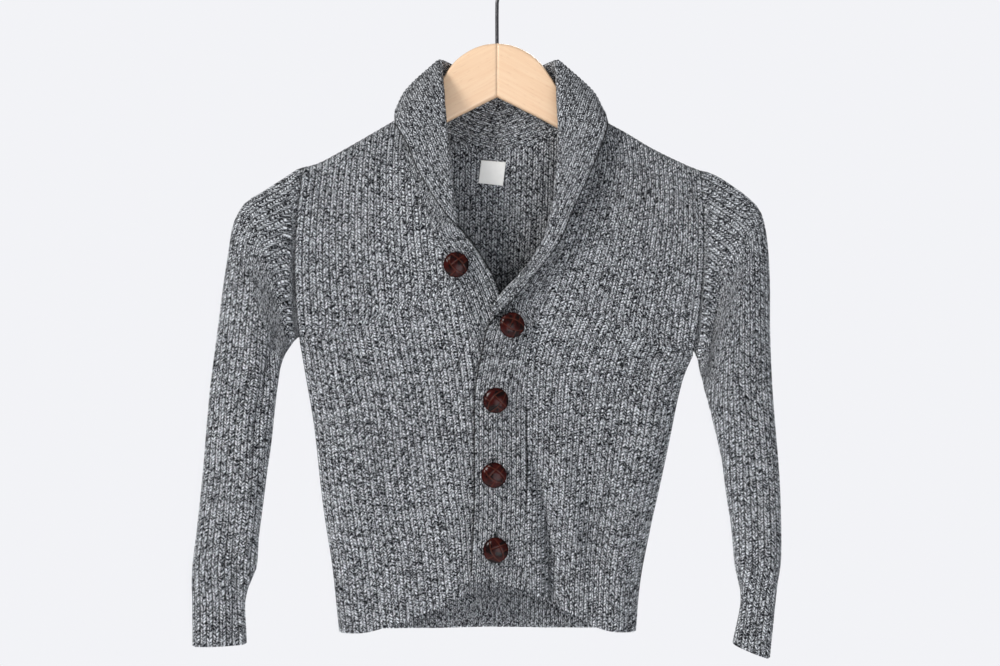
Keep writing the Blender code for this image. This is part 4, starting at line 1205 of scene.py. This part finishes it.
def arm_section(x, top, bottom, steps=6):
    """A rounded upright section of the arm."""
    height = top - bottom
    round_off = min(ARM_ROUND, height * 0.4)
    half = ARM_THICK / 2
    ring = []
    edges = ((half, top, 0), (half, bottom, 1), (-half, bottom, 2), (-half, top, 3))
    for side_y, z, quarter in edges:
        cy = side_y - round_off * (1 if side_y > 0 else -1)
        cz = z - round_off * (1 if z == top else -1)
        for step in range(steps + 1):
            a = radians(90 - quarter * 90 - step * 90 / steps)
            ring.append((cy + round_off * cos(a), cz + round_off * sin(a)))
    return [(x, arm_y(x) + py, pz) for py, pz in ring]


def hanger_arm(side):
    """One half of the hanger, with its share of the hook's bore."""
    points = []
    for x, top, bottom in spline(ARM)(np.linspace(0, 1, ARM_RINGS)):
        section = arm_section(max(x, ARM_JOINT / 2), top, bottom)
        points += [(outward(side) * px, py, pz) for px, py, pz in section]
    count = len(points) // ARM_RINGS
    faces = ring_faces(ARM_RINGS, count)
    faces += [tuple(range(count)), tuple(range(len(points) - count, len(points)))]
    thing = plain_piece(f"wood_arm_{side}", points, faces)
    for face in thing.data.polygons:
        face.use_smooth = len(face.vertices) == 4
    length = HOOK_DEPTH + BORE_PAST
    centre = CROWN_Z - HOOK_DEPTH - BORE_FOOT + length / 2
    bpy.ops.mesh.primitive_cylinder_add(
        vertices=32, radius=HOOK_BORE / 2 * MM, depth=length * MM, location=(0.0, 0.0, centre * MM))
    cut_with(thing, bpy.context.object)
    return thing


def hook():
    """The wire, from the wood up to its rounded end; the inside of its top is the origin."""
    bend = HOOK_INSIDE + WIRE / 2
    route = [(0.0, CROWN_Z - HOOK_DEPTH), (0.0, CROWN_Z)] + HOOK_NECK
    for angle in range(-45, 211, 15):
        route.append((bend * cos(radians(angle)), bend * sin(radians(angle)) - HOOK_INSIDE))
    path = spline(route)(np.linspace(0, 1, HOOK_RINGS))
    tangent = unit(np.gradient(path, axis=0))
    points = []
    for (x, z), (tx, tz) in zip(path, tangent):
        for k in range(WIRE_SIDES):
            a = 2 * pi * k / WIRE_SIDES
            aside = WIRE / 2 * cos(a)
            points.append((x + tz * aside, WIRE / 2 * sin(a), z - tx * aside))
    faces = ring_faces(HOOK_RINGS, WIRE_SIDES)
    ends = ((0, path[0], -tangent[0]), (len(points) - WIRE_SIDES, path[-1], tangent[-1]))
    for first, (x, z), (tx, tz) in ends:
        faces += fan(first, WIRE_SIDES, len(points))
        points.append((x + tx * WIRE_TIP, 0.0, z + tz * WIRE_TIP))
    return plain_piece("hook_wire", points, faces)


def band_face(side, x, z):
    """The y of the band's front face at (x, z), away from the collar's fold."""
    rise = OVERLAP_RISE if side == "left" else 0.0
    return float(front_y(np.array(x), np.array(z))) - rise - WALL / 2


def plait(x, y):
    """How near (x, y) on a unit disk is to an edge of a plaited strip: 1 on it, 0 away from it."""
    above, below = y - 0.34 + 0.30 * x * x, y + 0.44 - 0.22 * x * x
    marks = [above, below]
    if above < 0:
        marks.append(x - 0.22 - 0.10 * y)
    else:
        marks.append(x + 0.34)
    if below < 0:
        marks.append(x + 0.30)
    return max(0.0, 1 - min(abs(mark) for mark in marks) / STRIP_EDGE)


def button_rings(shank):
    """A button's outline from its shank's foot to the crown's top: radius, height, on the crown."""
    rings = [(SHANK_R, shank * share, False) for share in (0.0, 0.5, 1.0)]
    rings += [(BUTTON_R - inset, shank + up, False) for inset, up in RIM_STEPS]
    for k in range(CROWN_RINGS):
        a = radians(CROWN_REACH * k / (CROWN_RINGS - 1))
        height = shank + RIM_HEIGHT + (BUTTON_H - RIM_HEIGHT) * sin(a)
        rings.append((BUTTON_R * cos(a) ** CROWN_BLUNT, height, True))
    return rings


def button(number, x, z, turn, under, spin):
    """A plaited leather button on its shank, facing the front."""
    foot = band_face("right", x, z) - BAND_CLEAR
    rim = foot - SHANK_SHOWS
    if under:
        rim = band_face("left", x, z) - BAND_CLEAR - (TILT_LIFT if turn else 0.0)
    shank = foot - rim
    rings = button_rings(shank)
    points, worn = [(0.0, 0.0, 0.0)], [0.0]
    for radius, height, crown in rings:
        for k in range(BUTTON_SIDES):
            a = 2 * pi * k / BUTTON_SIDES
            px, py = radius * cos(a), radius * sin(a)
            sunk = 0.0
            if crown:
                u = (px * cos(spin) + py * sin(spin)) / BUTTON_R
                v = (py * cos(spin) - px * sin(spin)) / BUTTON_R
                sunk = plait(u, v) ** 1.2 * STRIP_DEPTH
            worn.append(min(1.0, sunk / STRIP_DEPTH * 1.4))
            scale = 1.0 - sunk * 0.35 / max(radius, 2.0)
            drop = sunk * (0.35 + 0.65 * height / (shank + BUTTON_H))
            points.append((px * scale, py * scale, height - drop))
    points.append((0.0, 0.0, rings[-1][1] + 0.01))
    worn.append(0.0)
    faces = ring_faces(len(rings), BUTTON_SIDES, 1) + fan(1, BUTTON_SIDES, 0)
    faces += fan(len(points) - 1 - BUTTON_SIDES, BUTTON_SIDES, len(points) - 1)
    y = foot - (BAND_CLEAR if turn else 0.0)
    lean = radians(turn)
    placed = []
    for px, py, out in points:
        placed.append((x + px * cos(lean) + out * sin(lean), y + px * sin(lean) - out * cos(lean), z + py))
    thing = plain_piece(f"button_leather_{number}", placed, faces)
    thing.data.attributes.new("worn", "FLOAT", "POINT").data.foreach_set("value", worn)
    return thing


def slit_cutter(x, z, turn, rise):
    """A buttonhole: an upright slot with round ends, through the left band only."""
    lean = 2 * WALL * sin(radians(turn))
    x += lean
    radius = (SLIT_WIDTH + lean) / 2
    outline = []
    for end, first in ((SLIT_LENGTH / 2 - radius, 0), (radius - SLIT_LENGTH / 2, 180)):
        for step in range(9):
            a = radians(first + step * 22.5)
            outline.append((radius * cos(a), end + radius * sin(a)))
    y = band_face("left", x, z)
    count = len(outline)
    ends = (y - SLIT_FRONT, y + WALL + SLIT_BEHIND)
    points = [(x + px, end, z + pz + rise) for end in ends for px, pz in outline]
    faces = ring_faces(2, count) + [tuple(reversed(range(count))), tuple(range(count, 2 * count))]
    return plain_piece("slit", points, faces, smooth=False)


def label():
    """A bare woven tape label with its two ends turned under."""
    rows, columns = LABEL_GRID
    total = rows * columns
    half = LABEL_THICK / 2
    corner = [np.array(p, float) for p in LABEL]
    u, v = np.meshgrid(np.linspace(0, 1, columns), np.linspace(0, 1, rows))
    top = corner[0] + (corner[1] - corner[0]) * u[..., None]
    low = corner[3] + (corner[2] - corner[3]) * u[..., None]
    flat = top + (low - top) * v[..., None]
    x, z = flat[..., 0], flat[..., 1]
    sag = 0.25 * np.sin(pi * v) + 0.12 * np.sin(2.2 * pi * u + 0.6)
    hem = 0.15 * (smoothstep((v - 0.86) / 0.03) + smoothstep((0.14 - v) / 0.03))
    y = back_y(x, z) - WALL / 2 - half - LABEL_GAP
    front = np.stack([x, y - half - sag * 0.6 - hem, z], -1).reshape(-1, 3)
    back = np.stack([x, y + half, z], -1).reshape(-1, 3)
    index = np.arange(total).reshape(rows, columns)
    quads, ring = corners(index), perimeter(index)
    after = np.roll(ring, -1)
    rim = np.stack([ring, after, after + total, ring + total], -1)
    faces = np.concatenate([quads, quads[:, ::-1] + total, rim])
    return plain_piece("woven_label", np.concatenate([front, back]), faces.tolist())


# ---------------------------------------------------------------- putting it together

def dress(thing, material, node):
    """Give a piece its looks, and hide the CAD node that it stands for."""
    thing.data.materials.clear()
    thing.data.materials.append(material)
    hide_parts(node)
    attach(thing, "root")


def sew(piece, knit, node):
    """Dress a knit piece."""
    dress(piece, knit, node)


def add_front(side, knit):
    node = f"front_{side}"
    grid = panel_grid("front", side, front_edges(side), WALES["front"])
    wale = even_wales(grid, WALES["front"]) if side == "left" else distance(grid, 1) / FRONT_WALE
    middle = creased(grid, FRONT, node)
    piece = knit_wall(f"knit_{node}", middle, wale, courses(grid), FRONT, PANEL_SEAMS, BACK_PITCH)
    sew(piece, knit, node)


def add_back(knit):
    grid = panel_grid("back", None, back_edges(), WALES["back"])
    wale = even_wales(grid, WALES["back"])
    middle = creased(grid, BACK, "back")
    piece = knit_wall("knit_back", middle, wale, courses(grid), BACK, PANEL_SEAMS, BACK_PITCH)
    sew(piece, knit, "back")


def add_sleeve(side, knit):
    node = f"sleeve_{side}"
    grid = sleeve_grid(side)
    above_cuff = courses(grid) - courses(grid)[-1:]
    middle = creased(grid, None, node)
    piece = knit_wall(f"knit_{node}", middle, sleeve_wales(grid), above_cuff, None, SLEEVE_SEAMS)
    sew(piece, knit, node)


def add_collar(side, knit):
    node = f"collar_band_{side}"
    grid = collar_grid(side)
    over = distance(grid, 1)
    wale = (over[:, -1:] - over) / COLLAR_WALE
    piece = knit_wall(f"knit_{node}", grid, wale, courses(grid), FRONT, COLLAR_SEAMS)
    if side == "left":
        for x, z, turn, rise, under, _ in BUTTONS:
            if under:
                cut_with(piece, slit_cutter(x, z, turn, rise))
    sew(piece, knit, node)


def add_camera(scene):
    """The camera, straight in front."""
    data = bpy.data.cameras.new("camera")
    data.lens = CAMERA_LENS
    data.sensor_width = SENSOR_WIDTH
    camera = bpy.data.objects.new("camera", data)
    camera.location = tuple(part * MM for part in CAMERA_PLACE)
    camera.rotation_euler = (pi / 2, 0.0, 0.0)
    scene.collection.objects.link(camera)
    scene.camera = camera


def add_floor():
    bpy.ops.mesh.primitive_grid_add(
        x_subdivisions=40, y_subdivisions=40, size=FLOOR_SIZE, location=(0.0, 0.0, FLOOR_Z * MM))
    floor = bpy.context.object
    floor.name = "floor"
    floor.data.materials.append(floor_material())


def add_room(scene):
    """A pale room: it looks nearly white, and lights the cloth less than it looks."""
    scene.world = bpy.data.worlds.new("studio")
    scene.world.use_nodes = True
    tree = scene.world.node_tree
    shed = tree.nodes["Background"]
    shed.inputs["Color"].default_value = ROOM_TINT
    shed.inputs["Strength"].default_value = ROOM_LIGHT
    seen = tree.nodes.new("ShaderNodeBackground")
    seen.inputs["Color"].default_value = ROOM_COLOUR
    path = tree.nodes.new("ShaderNodeLightPath")
    choice = tree.nodes.new("ShaderNodeMixShader")
    tree.links.new(path.outputs["Is Camera Ray"], choice.inputs[0])
    tree.links.new(shed.outputs[0], choice.inputs[1])
    tree.links.new(seen.outputs[0], choice.inputs[2])
    tree.links.new(choice.outputs[0], tree.nodes["World Output"].inputs["Surface"])


def add_lamp(name, place, size, power, colour):
    data = bpy.data.lights.new(name, "AREA")
    data.shape = "RECTANGLE"
    data.size, data.size_y = size
    data.energy = power
    data.color = colour
    lamp = bpy.data.objects.new(name, data)
    lamp.location = place
    way = np.array(LAMP_AIM) - np.array(place)
    lamp.rotation_mode = "QUATERNION"
    lamp.rotation_quaternion = Vector(way).to_track_quat("-Z", "Y")
    bpy.context.scene.collection.objects.link(lamp)


def main():
    scene = bpy.context.scene
    add_camera(scene)
    knit, leather, wood = knit_material(), leather_material(), wood_material()
    sides = ("right", "left")
    for side in sides:
        add_front(side, knit)
    add_back(knit)
    for side in sides:
        add_sleeve(side, knit)
    for side in sides:
        add_collar(side, knit)
    for number, (x, z, turn, _, under, spin) in enumerate(BUTTONS, start=1):
        dress(button(number, x, z, turn, under, spin), leather, f"button_{number}")
    dress(label(), tape_material(), "neck_label")
    for side in sides:
        dress(hanger_arm(side), wood, f"hanger_arm_{side}")
    dress(hook(), wire_material(), "hook")
    add_floor()
    add_room(scene)
    for name, (place, size, power, colour) in LAMPS.items():
        add_lamp(name, place, size, power, colour)
    scene.view_settings.view_transform = "Standard"


main()
